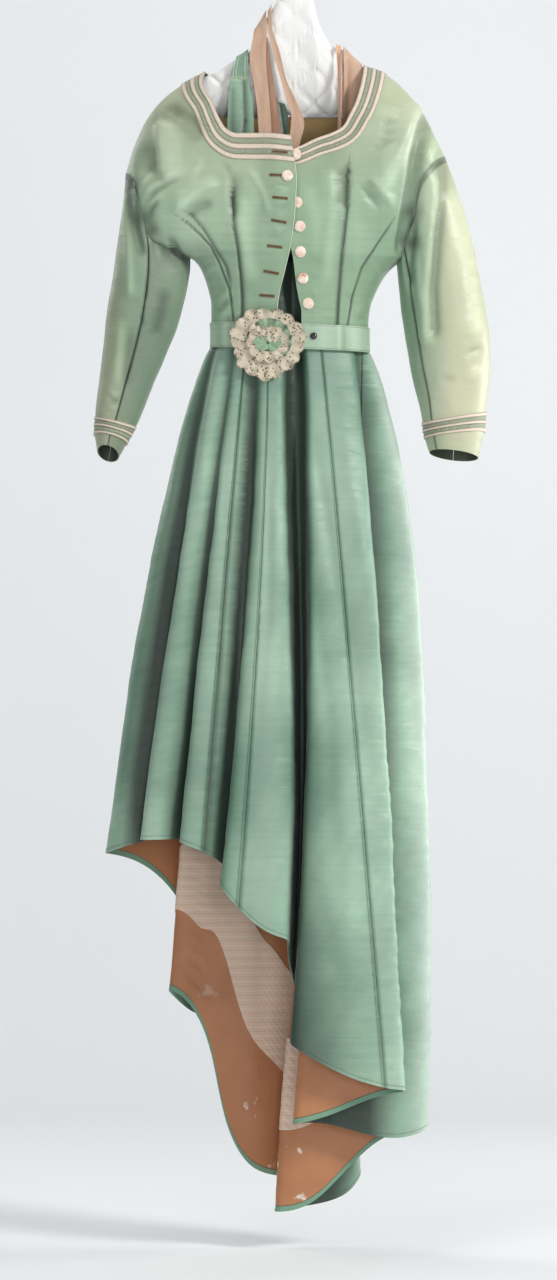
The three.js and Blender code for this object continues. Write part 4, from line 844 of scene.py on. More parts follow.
# ------------------------------------------------------------------ bodice
# Two silk fronts and a back, darted to a small waist, with a low neck. The right front laps over the
# left and has a piped edge; strain folds run from the shoulders, the darts and the buttonholes.
BODICE_HEM_Z = -686
SHOULDER_ROUND = 80
ROUNDNESS = 2.4
RIGHT_SIDE = smooth_table([
    (-690, -139), (-653, -139), (-624, -139), (-602, -143), (-571, -153), (-556, -161), (-544, -174),
    (-535, -212), (-525, -238), (-508, -264), (-490, -280), (-471, -288), (-428, -292), (-200, -300),
])
LEFT_SIDE = smooth_table([
    (-690, 128), (-658, 128), (-629, 131), (-602, 141), (-575, 156), (-555, 176),
    (-540, 202), (-512, 226), (-485, 240), (-439, 252), (-394, 262), (-200, 270),
])
SHOULDER_LINE = smooth_table([
    (-284, -400), (-269, -352), (-250, -311), (-226, -279), (-201, -258), (-175, -241), (-148, -228),
    (-60, -175), (0, -150), (50, -165), (120, -217),
    (151, -228), (177, -246), (202, -272), (223, -301), (241, -337), (258, -372),
])
HALF_DEPTH = smooth_table([
    (-690, 65), (-655, 65), (-630, 67), (-600, 72), (-540, 80), (-450, 84), (-350, 78), (-220, 68),
])


def form_depth(x, z):
    right, left = RIGHT_SIDE(z), LEFT_SIDE(z)
    across = np.minimum(1, np.abs((2 * x - right - left) / (left - right)))
    below = np.clip(1 - (SHOULDER_LINE(x) - z) / SHOULDER_ROUND, 0, 1)
    return HALF_DEPTH(z) * (1 - across**ROUNDNESS) ** (1 / ROUNDNESS) * np.sqrt(1 - below**2)


# Strain folds of the front seen from the front: height, half widths to either side, then x, z points.
FRONT_CREASES = [
    ("dart_right", -1.8, 1.7, 5.0, [(-100, -420), (-104, -452), (-101, -493), (-94, -536), (-90, -576),
                                    (-88, -614), (-88, -640), (-95, -700)]),
    ("dart_right_puff", 2.6, 9.0, 14.0, [(-88, -440), (-90, -490), (-84, -540), (-74, -600)]),
    ("dart_right_valley", -3.4, 5.0, 12.0, [(-101, -398), (-105, -440), (-103, -490)]),
    ("side_front_right", -1.6, 1.7, 1.7, [(-199, -476), (-178, -490), (-156, -511), (-139, -530),
                                          (-126, -554), (-108, -600), (-102, -651), (-100, -700)]),
    ("side_front_right_tuck", -1.2, 1.6, 4.0, [(-190, -466), (-172, -477), (-150, -504), (-133, -532),
                                               (-115, -561), (-104, -600)]),
    ("shoulder_ridge_right", 5.0, 8.0, 26.0, [(-226, -300), (-225, -350), (-222, -395), (-205, -430)]),
    ("shoulder_hollow_right", -5.0, 16.0, 14.0, [(-240, -345), (-243, -380), (-240, -415)]),
    ("neck_hollow_right", -6.0, 20.0, 13.0, [(-226, -290), (-200, -303), (-172, -320), (-146, -348)]),
    ("bright_ridge", 4.2, 5.0, 16.0, [(-206, -476), (-182, -452), (-158, -434), (-120, -420)]),
    ("bright_ridge_under", -3.6, 9.0, 9.0, [(-190, -482), (-162, -464), (-128, -452)]),
    ("armpit_1", 2.6, 4.0, 5.5, [(-258, -447), (-240, -428), (-216, -413), (-190, -399)]),
    ("armpit_2", -2.6, 3.5, 4.5, [(-254, -456), (-236, -438), (-212, -423), (-185, -412)]),
    ("armpit_3", 2.2, 3.5, 5.0, [(-249, -466), (-234, -450), (-214, -434)]),
    ("armpit_4", -3.0, 4.0, 5.0, [(-248, -478), (-238, -462), (-224, -447)]),
    ("armpit_5", 1.6, 4.0, 4.0, [(-262, -430), (-249, -412), (-232, -398)]),
    ("light_crease", 2.2, 2.6, 6.0, [(-84, -392), (-66, -414), (-52, -439), (-41, -483)]),
    ("neck_fan", -1.8, 4.0, 4.0, [(-122, -380), (-111, -398), (-104, -420)]),
    ("neck_fan_2", 1.6, 5.0, 5.0, [(-150, -372), (-160, -396), (-176, -418)]),
    ("hole_3_above", 1.4, 2.6, 3.0, [(-44, -437), (-27, -431), (-4, -436)]),
    ("hole_3_upper", -1.3, 2.4, 2.6, [(-40, -430), (-22, -426), (-4, -429)]),
    ("hole_3_below", -1.3, 3.0, 3.0, [(-42, -459), (-22, -464), (-2, -457)]),
    ("hole_4_below", 1.2, 3.0, 4.0, [(-40, -492), (-24, -504), (-8, -498)]),
    ("hole_5_above", -1.0, 3.0, 4.0, [(-52, -520), (-36, -513), (-18, -520)]),
    ("waist_r_1", 2.2, 4.0, 4.0, [(-136, -626), (-116, -612), (-96, -602)]),
    ("waist_r_2", -2.2, 4.0, 4.0, [(-133, -640), (-114, -624), (-98, -612)]),
    ("waist_r_3", 2.0, 4.0, 4.5, [(-132, -658), (-116, -640), (-100, -628)]),
    ("waist_r_4", -1.6, 3.5, 3.5, [(-120, -664), (-108, -650), (-98, -642)]),
    ("waist_r_5", 1.4, 3.0, 3.0, [(-86, -652), (-76, -640), (-60, -634)]),
    ("waist_r_6", -1.3, 4.0, 4.0, [(-70, -664), (-52, -652), (-34, -650)]),
    ("side_r_1", 1.6, 4.0, 5.0, [(-152, -576), (-138, -566), (-124, -564)]),
    ("dart_left", -1.8, 5.0, 1.7, [(95, -377), (92, -469), (83, -551), (78, -620), (74, -700)]),
    ("dart_left_valley", -3.2, 12.0, 5.0, [(88, -386), (86, -428), (86, -476)]),
    ("dart_left_puff", 2.6, 12.0, 10.0, [(60, -390), (62, -462), (58, -540), (52, -600)]),
    ("side_front_left", -1.6, 1.7, 1.7, [(172, -480), (143, -524), (116, -566), (102, -610), (86, -700)]),
    ("zigzag_1", 3.6, 4.0, 9.0, [(122, -404), (138, -428), (158, -449), (176, -468)]),
    ("zigzag_2", -3.0, 5.0, 6.0, [(112, -420), (130, -446), (152, -466)]),
    ("shoulder_ridge_left", 6.0, 16.0, 16.0, [(218, -276), (204, -309), (192, -340), (175, -374),
                                              (156, -408), (141, -440)]),
    ("shoulder_valley_left", -8.0, 9.0, 15.0, [(226, -286), (214, -330), (205, -377), (196, -440),
                                               (186, -500), (180, -548)]),
    ("second_ridge_left", 3.6, 8.0, 8.0, [(242, -338), (232, -362), (222, -392)]),
    ("fan_1", -2.2, 4.0, 5.0, [(142, -339), (160, -337), (180, -331)]),
    ("fan_2", -1.8, 4.0, 4.0, [(142, -325), (158, -320), (176, -311)]),
    ("fan_3", -2.8, 4.0, 5.5, [(140, -355), (162, -352), (184, -347)]),
    ("fan_4", -1.6, 3.5, 4.0, [(126, -366), (146, -362), (166, -356)]),
    ("waist_l_1", 1.8, 3.5, 4.0, [(138, -558), (148, -574), (152, -588)]),
    ("waist_l_2", -1.6, 3.0, 3.5, [(88, -602), (98, -618), (110, -626)]),
    ("waist_l_3", 1.6, 3.5, 3.5, [(98, -640), (116, -630), (130, -628)]),
    ("waist_l_4", -1.5, 3.5, 3.5, [(104, -656), (118, -646), (128, -644)]),
    ("front_left_soft", 1.6, 16.0, 12.0, [(20, -420), (34, -480), (36, -560)]),
    ("front_left_worn", 1.4, 3.0, 3.0, [(26, -598), (36, -606), (44, -616)]),
    ("sleeve_r_valley", -7.0, 7.0, 8.0, [(-284, -400), (-279, -416), (-275, -440), (-270, -486),
                                         (-262, -518), (-253, -549)]),
    ("sleeve_r_ridge", 3.0, 8.0, 7.0, [(-292, -428), (-285, -480), (-278, -540), (-276, -620)]),
    ("sleeve_r_fold", 3.0, 4.0, 6.0, [(-240, -504), (-232, -530), (-226, -556)]),
    ("sleeve_r_tuck", -5.0, 5.0, 7.0, [(-214, -508), (-200, -532), (-186, -556)]),
    ("sleeve_r_inner", -2.4, 10.0, 10.0, [(-214, -590), (-222, -640), (-236, -690)]),
    ("sleeve_r_pucker_1", 1.3, 3.0, 4.0, [(-262, -612), (-252, -622), (-246, -634)]),
    ("sleeve_r_pucker_2", -1.3, 3.0, 4.0, [(-266, -640), (-256, -652), (-250, -664)]),
    ("sleeve_r_long", 2.2, 12.0, 9.0, [(-292, -640), (-296, -700), (-300, -770)]),
    ("sleeve_r_long_2", -2.0, 8.0, 9.0, [(-276, -660), (-282, -720), (-290, -770)]),
    ("sleeve_r_elbow_1", 1.8, 4.0, 4.0, [(-316, -766), (-304, -776), (-290, -776)]),
    ("sleeve_r_elbow_2", -1.8, 4.0, 4.0, [(-316, -780), (-303, -788), (-289, -786)]),
    ("sleeve_r_elbow_3", 1.5, 3.5, 4.0, [(-318, -795), (-306, -800), (-292, -797)]),
    ("sleeve_l_light_1", 5.0, 10.0, 10.0, [(240, -396), (233, -462), (226, -540), (222, -612), (224, -700)]),
    ("sleeve_l_dark_1", -5.0, 8.0, 9.0, [(252, -372), (252, -450), (244, -506), (236, -600), (240, -690)]),
    ("sleeve_l_light_2", 3.6, 18.0, 18.0, [(268, -420), (280, -500), (292, -590), (300, -680)]),
    ("sleeve_l_deep", -6.0, 6.0, 7.0, [(206, -470), (201, -510), (196, -556), (200, -600)]),
    ("sleeve_l_fold", 2.4, 5.0, 6.0, [(212, -520), (210, -580), (216, -640)]),
    ("sleeve_l_elbow_1", -2.0, 7.0, 8.0, [(330, -690), (306, -700), (280, -716)]),
    ("sleeve_l_elbow_2", 1.8, 7.0, 7.0, [(332, -730), (310, -736), (286, -748)]),
    ("sleeve_l_elbow_3", -1.5, 5.0, 6.0, [(244, -744), (262, -752), (282, -752)]),
]
BACK_CREASES = [
    ("side_back_right", -1.6, 1.7, 1.7, [(-238, -440), (-178, -456), (-120, -506), (-82, -574), (-62, -700)]),
    ("side_back_left", -1.6, 1.7, 1.7, [(210, -436), (158, -456), (104, -506), (70, -574), (52, -700)]),
    ("shoulder_back_right", 4.0, 16.0, 14.0, [(-226, -310), (-214, -370), (-190, -430)]),
    ("shoulder_back_left", 4.0, 14.0, 16.0, [(214, -300), (200, -360), (176, -424)]),
    ("hollow_back_right", -4.0, 12.0, 12.0, [(-196, -330), (-176, -392), (-140, -440)]),
    ("hollow_back_left", -4.0, 12.0, 12.0, [(186, -330), (164, -392), (128, -446)]),
    ("under_right_1", 2.4, 5.0, 6.0, [(-236, -492), (-212, -470), (-180, -452)]),
    ("under_right_2", -2.4, 5.0, 5.0, [(-222, -510), (-198, -490), (-168, -474)]),
    ("under_left_1", 2.4, 6.0, 5.0, [(196, -500), (176, -474), (150, -458)]),
    ("under_left_2", -2.2, 5.0, 5.0, [(182, -524), (160, -502), (136, -488)]),
    ("waist_back_1", 1.8, 4.0, 4.0, [(-128, -640), (-108, -626), (-84, -620)]),
    ("waist_back_2", -1.8, 4.0, 4.0, [(-124, -658), (-104, -642), (-78, -634)]),
    ("waist_back_3", 1.8, 4.0, 4.0, [(116, -636), (96, -622), (74, -616)]),
    ("waist_back_4", -1.6, 4.0, 4.0, [(112, -656), (92, -640), (70, -634)]),
    ("middle_back", 2.0, 20.0, 20.0, [(-12, -330), (-8, -430), (-6, -540)]),
    ("sleeve_back_r_1", -5.0, 9.0, 10.0, [(-276, -470), (-280, -560), (-284, -640)]),
    ("sleeve_back_r_2", 3.6, 12.0, 12.0, [(-240, -560), (-250, -640), (-264, -720)]),
    ("sleeve_back_r_3", -2.2, 6.0, 7.0, [(-318, -700), (-298, -716), (-270, -722)]),
    ("sleeve_back_r_4", 2.0, 6.0, 7.0, [(-322, -730), (-304, -742), (-280, -748)]),
    ("sleeve_back_l_1", -5.0, 10.0, 9.0, [(262, -450), (274, -540), (284, -630)]),
    ("sleeve_back_l_2", 3.6, 12.0, 12.0, [(216, -560), (228, -640), (244, -720)]),
    ("sleeve_back_l_3", -2.2, 7.0, 7.0, [(322, -680), (300, -692), (270, -700)]),
    ("sleeve_back_l_4", 2.0, 6.0, 7.0, [(320, -716), (300, -730), (274, -738)]),
]
CREASE_END = 26                          # mm over which a fold rises from nothing at its two ends


def fold_relief(x, z, folds):
    """Height of the folds over places in the front view."""
    total = np.zeros(np.shape(x))
    for name, height, left, right, points in folds:
        points = np.array(points, float)
        steps = np.diff(points, axis=0)
        lengths = np.hypot(*steps.T)
        whole = lengths.sum()
        done = np.concatenate(([0], np.cumsum(lengths)))
        nearest = np.full(np.shape(x), 1e9)
        best = np.zeros(np.shape(x))
        for start, step, length, before in zip(points, steps, lengths, done):
            dx, dz = x - start[0], z - start[1]
            t = np.clip((dx * step[0] + dz * step[1]) / length**2, 0, 1)
            away = np.hypot(dx - t * step[0], dz - t * step[1])
            side = np.sign(step[0] * dz - step[1] * dx)
            width = np.where(side > 0, right, left)
            end = np.minimum(before + t * length, whole - before - t * length)
            here = height * ease(end / min(CREASE_END, whole * 0.45)) * np.exp(-(away / width) ** 2)
            closer = away < nearest
            nearest = np.where(closer, away, nearest)
            best = np.where(closer, here, best)
        total += best
    return total


BODICE_WAVES = wave_bank(10, 70, 260, (1, 1, 1))
BODICE_CRUMPLE = wave_bank(12, 22, 60, (1, 0.6, 1))
FOLD_STRENGTH = 1.35
SEAM_SHALLOW, FOLD_SHALLOW = 2.0, 9.0     # mm of height for a whole step of tone, sewn and loose
PIECE_TONE = {"bodice": -0.15, "right": -0.33, "left": -0.15}     # tone of the whole piece; the right sleeve's deeper value is painted shade on the side turned from the key light
SEWN_FOLDS = ("dart_right", "side_front_right", "side_front_right_tuck", "dart_left", "side_front_left",
              "side_back_right", "side_back_left")
# Spots of painted shade where the bodice lies in shadow: under both arms, at the right armhole and shoulder,
# and in the gap between the fronts below the neck.
SHADED_SPOTS = [(-248, -478, 16, 0.55), (-236, -500, 11, 0.5), (-270, -420, 9, 0.4), (-225, -310, 12, 0.35),
                (206, -470, 16, 0.5), (200, -520, 14, 0.5), (-8, -380, 5, 0.8)]     # x, z, radius, depth


def cloth_light_and_shade(x, z, side):
    """-1 as painted shade in creases and in the grooves of sewn seams, up to 1 as a painted highlight on
    ridges, over places in the front view.
    """
    folds = FRONT_CREASES if side < 0 else BACK_CREASES
    sewn = fold_relief(x, z, [row for row in folds if row[0] in SEWN_FOLDS])
    loose = fold_relief(x, z, [row for row in folds if row[0] not in SEWN_FOLDS])
    fold_shading = np.clip(sewn / SEAM_SHALLOW, -0.9, 0) + np.clip(loose / FOLD_SHALLOW, -0.3, 0.4)
    if side < 0:
        # Painted shade in the shaded spots.
        for x0, z0, radius, depth in SHADED_SPOTS:
            fold_shading = fold_shading - depth * np.exp(-((x - x0) ** 2 + (z - z0) ** 2) / radius**2)
    return fold_shading


def body_relief(x, z, side):
    """Height of the cloth over the smooth form; side is -1 in front, 1 behind."""
    depth = form_depth(x, z)
    points = np.stack([x, side * depth, z], axis=-1)
    soft = 1.1 * waves(points, BODICE_WAVES) + 0.3 * waves(points, BODICE_CRUMPLE)
    folds = fold_relief(x, z, FRONT_CREASES if side < 0 else BACK_CREASES)
    return (soft + FOLD_STRENGTH * folds) * ease(depth / 26)


def form_surface(x, z, side, lift=0.0, relief=True):
    depth = form_depth(x, z)
    slope_x = form_depth(x + 0.5, z) ** 2 - form_depth(x - 0.5, z) ** 2
    slope_z = form_depth(x, z + 0.5) ** 2 - form_depth(x, z - 0.5) ** 2
    normals = normalised(np.stack([-slope_x, side * 2 * np.maximum(depth, 0.05), -slope_z], axis=-1))
    height = lift + (body_relief(x, z, side) if relief else 0)
    points = np.stack([x, side * (depth + GAP / 2), z], axis=-1)
    return points + normals * np.asarray(height)[..., None], normals


def outline(points):
    points = np.array(points, float)
    lengths = np.concatenate(([0], np.cumsum(np.hypot(*np.diff(points, axis=0).T))))
    shares = lengths / lengths[-1]
    x_at, z_at = (smooth_table(np.stack((shares, values), axis=1)) for values in points.T)
    return lambda t: (x_at(t), z_at(t))


ARMHOLES = {
    "right": outline([(-284, -400), (-264, -428), (-257, -471), (-243, -506), (-212, -527), (-174, -544)]),
    "left": outline([(258, -372), (247, -378), (231, -394), (216, -415), (210, -439), (203, -485),
                     (196, -520), (176, -555)]),
}
SHOULDER_ENDS = {"right": -284, "left": 258}
NECK_EDGES = {
    "right": outline([(-4, -343), (-56, -338), (-95, -338), (-112, -331), (-122, -317), (-136, -286),
                      (-152, -251), (-148, -228)]),
    "left": outline([(-6, -366), (7, -362), (41, -346), (66, -337), (83, -327), (95, -306), (107, -280),
                     (117, -240), (120, -217)]),
    "back": outline([(-148, -228), (-110, -250), (-50, -267), (-8, -270), (40, -265), (90, -243),
                     (120, -217)]),
}
FRONT_EDGES = {
    "right": smooth_table([(-686, -30), (-666, -29), (-634, -27), (-605, -23), (-568, -14), (-518, -3),
                           (-462, 3), (-416, 5), (-386, 2), (-343, -4)]),
    "left": smooth_table([(-686, 14), (-638, 14), (-620, 10), (-592, 5), (-551, 0), (-518, -6), (-470, -9),
                          (-412, -8), (-366, -6)]),
}
SIDE_LINES = {"right": RIGHT_SIDE, "left": LEFT_SIDE}
NECK_SIDE = {"right": 1, "left": -1, "back": -1}
NECK_WIDTH = 37.6                         # of the trimmed border round the neck
NECK_LINES = 23
BODY_ROWS = 104
SHOULDER_ROW, UNDERARM_ROW, HEM_ROW = 4, 12, 16
START_FADE = 8
row_share = smooth_table([(0, 0), (4, 0.12), (12, 0.58), (13, 0.65), (14, 0.75), (15, 0.88), (16, 1)])
lap_height = smooth_table([(-640, 0), (-590, 2.4), (-508, 2.4), (-478, 8.2)])


def lap_lift(x, z):
    return lap_height(z) * ease((x + 62) / 40)


def beside_neck(panel, away, t):
    """Places on the line parallel to a neck edge, at a distance from it."""
    inside = np.clip(t, 0, 1)
    x0, z0 = NECK_EDGES[panel](np.clip(inside - 0.01, 0, 1))
    x1, z1 = NECK_EDGES[panel](np.clip(inside + 0.01, 0, 1))
    dx, dz = (x1 - x0) / np.hypot(x1 - x0, z1 - z0), (z1 - z0) / np.hypot(x1 - x0, z1 - z0)
    beyond = (t - inside) * 300
    x, z = NECK_EDGES[panel](inside)
    turn = NECK_SIDE[panel]
    return x + dx * beyond - turn * dz * away, z + dz * beyond + turn * dx * away


def shoulder_meeting(panel, away, outer):
    low, high = 0.5, outer
    for halving in range(40):
        middle = (low + high) / 2
        x, z = beside_neck(panel, away, middle)
        if SHOULDER_LINE(x) > z:
            low = middle
        else:
            high = middle
    return low


def neck_line(panel, away, shares):
    end = shoulder_meeting(panel, away, 1.5)
    if panel == "back":
        start = shoulder_meeting(panel, away, -0.5)
        return np.stack(beside_neck(panel, away, lerp(start, end, shares)), axis=-1)
    x0, z0 = beside_neck(panel, away, 0.0)
    shift = FRONT_EDGES[panel](z0) - x0
    x, z = beside_neck(panel, away, shares * end)
    return np.stack([x + shift * (1 - shares) ** 4, z], axis=-1)


def outer_edge(side, from_x, rows):
    """Shoulder, armhole and side seam of a panel at fractional rows 0 to 16."""
    share = np.sin(math.pi / 2 * np.clip(rows / SHOULDER_ROW, 0, 1)) ** 0.95
    shoulder_x = lerp(from_x, SHOULDER_ENDS[side], share)
    hole_x, hole_z = ARMHOLES[side]((1 - np.cos(math.pi * np.clip((rows - SHOULDER_ROW) / 8, 0, 1))) / 2)
    underarm = float(ARMHOLES[side](1.0)[1])
    side_z = smooth_table([(12, underarm), (13, -568), (14, -605), (15, -650), (16, BODICE_HEM_Z)])(rows)
    shoulder = rows < SHOULDER_ROW, np.stack([shoulder_x, SHOULDER_LINE(shoulder_x)], axis=-1)
    hole = rows < UNDERARM_ROW, np.stack([hole_x, hole_z], axis=-1)
    seam = np.stack([SIDE_LINES[side](side_z), side_z], axis=-1)
    return np.where(shoulder[0][:, None], shoulder[1], np.where(hole[0][:, None], hole[1], seam))


body_levels = np.linspace(0, HEM_ROW, BODY_ROWS + 1)
front_shares = np.sin(math.pi / 2 * np.linspace(0, 1, 85))
panel_shares = {
    "right": front_shares, "left": front_shares,
    "back": (1 - np.cos(math.pi * np.linspace(0, 1, 121))) / 2,
}


def panel_grid(panel):
    us = panel_shares[panel]
    neck = [neck_line(panel, away, us) for away in np.linspace(0, NECK_WIDTH, NECK_LINES)]
    start = neck[-1]
    vs = row_share(body_levels)[:, None]
    if panel == "back":
        first = outer_edge("right", start[0][0], body_levels)
        last = outer_edge("left", start[-1][0], body_levels)
        foot = (RIGHT_SIDE(BODICE_HEM_Z), LEFT_SIDE(BODICE_HEM_Z))
    else:
        last = outer_edge(panel, start[-1][0], body_levels)
        z = lerp(start[0][1], BODICE_HEM_Z, vs[:, 0])
        first = np.stack([FRONT_EDGES[panel](z), z], axis=-1)
        foot = (FRONT_EDGES[panel](BODICE_HEM_Z), SIDE_LINES[panel](BODICE_HEM_Z))
    end = np.stack([lerp(foot[0], foot[1], us), np.full(len(us), BODICE_HEM_Z)], axis=-1)
    u = us[None, :, None]

    def bend(edge):
        return edge - lerp(edge[0], edge[-1], u[0])
    body = (
        lerp(first[:, None, :], last[:, None, :], u)
        + (1 - vs[..., None]) ** START_FADE * bend(start)[None] + vs[..., None] * bend(end)[None]
    )
    return np.concatenate((np.array(neck), body[1:]))


def panel_surface(panel, grid, relief=True):
    x, z = grid[..., 0], grid[..., 1]
    lift = lap_lift(x, z) if panel == "right" else 0.0
    return form_surface(x, z, 1 if panel == "back" else -1, lift, relief)


bodice_silk = taffeta("bodice_silk", srgb(170, 194, 166), srgb(134, 164, 134), srgb(206, 204, 172), 0.42)
PANELS = {"right": "bodice_front_right", "left": "bodice_front_left", "back": "bodice_back"}
grids = {}
for panel, name in PANELS.items():
    grids[panel] = panel_grid(panel)
    points, normals = panel_surface(panel, grids[panel])
    # Painted shade in the creases and in the grooves of the seams, painted highlight on the ridges, with the
    # piece's tone.
    light_and_shade = cloth_light_and_shade(*np.moveaxis(grids[panel], -1, 0), 1 if panel == "back" else -1) + PIECE_TONE["bodice"]
    light_and_shade[:, [-2, -1]] -= 0.5
    piece = wall_piece(name, points, normals, -SILK, 0.0, grids[panel], bodice_silk,
                       stands=True, light_and_shade=light_and_shade)
    declare_sheet(points)

# Mustard cotton lining, which shows on the inside of the back through the neck.
mustard_cotton = cotton("mustard_cotton", srgb(236, 204, 146), srgb(206, 170, 112), 0.8)
inner_rows = grids["back"][: NECK_LINES + int(BODY_ROWS * 4.2 / 16) : 2, 14:-14:2]
points, normals = panel_surface("back", inner_rows)
back_lining = wall_piece("bodice_back_lining", points, normals, -SILK - 1.8, -SILK - 0.8, inner_rows,
                         mustard_cotton, stands=True)
declare_sheet(points)

# ------------------------------------------------------------------ braid round the neck
# Three rows of narrow cream braid, sewn along both edges, with a band of coarse grey-green ribbed
# trimming between each two of them.
BRAID_LINES = [(0, 7.6), (15, 22.6), (30, 37.6)]
BRAID_CROWN = ((0.0, 0.0), (0.08, 0.75), (0.3, 1.0), (0.7, 1.0), (0.92, 0.75), (1.0, 0.0))


def braid_cloth(name, light, dark, ribs, depth):
    look = Look(name, {"Roughness": 0.82, "Sheen Weight": 0.2})
    rib = look.noise(look.stretch(look.cloth, *ribs), 1.0)
    soil = look.spread(look.noise(look.place, 22.0, 4.0), 0.45, 0.75, 0.0, 0.4)
    colour = look.mix(soil, look.mix(look.spread(rib, 0.3, 0.7), dark, light), dark)
    return look.finish(colour, look.bump(rib, 0.6, depth))


cream_braid = braid_cloth("cream_braid", srgb(232, 219, 202), srgb(204, 186, 166), (900.0, 160.0, 1.0),
                          0.0005)
band_cloth = braid_cloth("ribbed_band", srgb(190, 196, 172), srgb(96, 110, 90), (520.0, 620.0, 1.0), 0.0012)
stitch_thread = thread("stitch_thread", srgb(104, 98, 80), srgb(78, 72, 58))


# The border is wider below the throat on the right and narrower on the left than at the shoulders.
BORDER_SPREAD = {
    "right": smooth_table([(0, 1.24), (0.42, 1.2), (0.6, 1.02), (0.8, 0.92), (1, 1)]),
    "left": smooth_table([(0, 0.82), (0.35, 0.86), (0.6, 0.93), (1, 1)]),
    "back": smooth_table([(0, 1), (1, 1)]),
}


def neck_strip(panel, low, high, crown, near, far):
    lines, heights = [], []
    shares = panel_shares[panel]
    for share, height in crown:
        away = lerp(low, high, share)
        edge, line = neck_line(panel, 0.0, shares), neck_line(panel, away, shares)
        lines.append(lerp(edge, line, BORDER_SPREAD[panel](shares)[:, None]) if away else edge)
        heights.append(np.full(len(panel_shares[panel]), lerp(near, far, height)))
    grid = np.array(lines)
    points, normals = panel_surface(panel, grid)
    steps = np.linalg.norm(np.diff(points, axis=1), axis=-1)
    along = np.concatenate((np.zeros((len(grid), 1)), np.cumsum(steps, axis=1)), axis=1)
    across = np.array([lerp(low, high, share) for share, height in crown])[:, None] + 0 * along
    return points, normals, np.array(heights), np.stack([along, across], axis=-1)


neck_stitches = []
for panel in PANELS:
    for row, (low, high) in enumerate(BRAID_LINES):
        points, normals, heights, uvs = neck_strip(panel, low, high, BRAID_CROWN, GAP + 0.3, GAP + 1.5)
        name = f"neck_braid_{row + 1}_{panel}"
        wall_piece(name, points, normals, GAP, heights, uvs, cream_braid, stands=True)
        for line in (1, 4):
            neck_stitches.append(points[line] + normals[line] * (heights[line] + 0.15)[:, None])
    for low, high in ((7.6, 15), (22.6, 30)):
        points, normals, heights, uvs = neck_strip(panel, low + 0.2, high - 0.2, BRAID_CROWN, 0.1, 0.9)
        name = f"neck_band_{round(low)}_{panel}"
        wall_piece(name, points, normals, 0.05, heights + 0.1, uvs, band_cloth)
sew("neck_stitches", neck_stitches, (0.0034, 0.0024, 0.0003), stitch_thread)

# ------------------------------------------------------------------ sleeves and cuffs
# Two-piece sleeves curved forward at the elbow, set into the armholes and trimmed at the cuff with
# three rows of the same braid. The cloth is crushed at the armpits and bends at the elbows.
SLEEVE_RINGS = {
    "right": [
        (-284, -400, -174, -544, 46, 1), (-289, -454, -175, -563, 45, 0.62),
        (-296, -505, -178, -583, 46, 0.34), (-304, -556, -183, -610, 46, 0.14),
        (-314, -629, -194, -655, 45, 0.03), (-323, -704, -214, -704, 43, 0),
        (-332, -768, -240, -765, 40, 0), (-335, -808, -264, -824, 35, 0), (-337, -840, -281, -855, 31, 0),
        (-333, -872, -296, -880, 27, 0),
    ],
    "left": [
        (258, -372, 176, -555, 46, 1), (276, -420, 178, -575, 45, 0.62), (293, -471, 180, -600, 46, 0.34),
        (307, -530, 183, -632, 46, 0.14), (323, -607, 190, -676, 45, 0.03), (335, -675, 199, -728, 43, 0),
        (337, -731, 209, -775, 40, 0), (328, -801, 219, -820, 36, 0), (325, -838, 224, -850, 33, 0),
        (315, -884, 231, -874, 29, 0),
    ],
}
SLEEVE_SEAM = {"right": 90, "left": 135}
BACK_SEAM = 270
CUFF_TILT = {"right": 13, "left": 8}
RING_STEPS = 13
SLEEVE_TURN = 3.75                        # degrees a column
SLEEVE_WAVES = wave_bank(10, 50, 190, (1, 1, 0.8))


def sleeve_points(side, rings, degrees):
    """Points of the creased sleeve, [ring][degree]; 0 degrees is the outer line, 90 the front."""
    table = np.array(SLEEVE_RINGS[side], float)
    numbers = np.arange(len(table))
    columns = [smooth_table(np.stack((numbers, column), axis=1))(rings)[:, None] for column in table.T]
    outer_x, outer_z, inner_x, inner_z, depth, hole = columns
    wrapped = degrees % 360
    turn = np.radians(wrapped)
    share = (1 - np.cos(turn)) / 2
    hole_x, hole_z = ARMHOLES[side](share)
    front, back = (form_surface(hole_x, hole_z, face)[0] for face in (-1, 1))
    rim = np.where((wrapped <= 180)[:, None], front, back)
    rim[:, 1] *= np.clip(np.abs(np.sin(turn)) * 30, 0, 1)
    first = table[0]
    chord_x, chord_z = lerp(outer_x, inner_x, share), lerp(outer_z, inner_z, share)
    bulge_x = rim[:, 0] - lerp(first[0], first[2], share)
    bulge_z = rim[:, 2] - lerp(first[1], first[3], share)
    tilt = CUFF_TILT[side] * np.sin(turn) * np.clip(rings[:, None] - 7, 0, 2) / 2
    x = chord_x + bulge_x * hole
    z = chord_z + bulge_z * hole + tilt
    y = lerp(-depth * np.sin(turn), rim[:, 1], hole)
    start = 0.5 * (1 - np.clip(rings[:, None], 0, 1))
    points = np.stack([x + start * (-1 if side == "right" else 1), y + 0 * x, z - start], axis=-1)
    down = np.gradient(points, axis=0)
    around = np.gradient(points, np.radians(degrees), axis=1)
    normals = normalised(np.cross(around, down))
    middle = np.stack([(outer_x + inner_x) / 2, 0 * outer_x, (outer_z + inner_z) / 2], axis=-1)
    facing = np.sum(normals * (points - middle), axis=-1, keepdims=True)
    normals = normals * np.sign(np.median(facing))
    front_folds, back_folds = fold_relief(x, z, FRONT_CREASES), fold_relief(x, z, BACK_CREASES)
    edge = ease(np.abs(np.sin(turn)) / 0.35)
    folds = FOLD_STRENGTH * np.where(wrapped <= 180, front_folds, back_folds) * edge
    height = folds + 1.1 * waves(points, SLEEVE_WAVES) + 0.25 * waves(points, BODICE_CRUMPLE)
    own = 1 - np.where(rings[:, None] < 0.02, 1, hole)
    cuff = 1 - 0.75 * ease((rings[:, None] - 6.9) / 0.4)
    return points + normals * (height * own * cuff)[..., None], normals


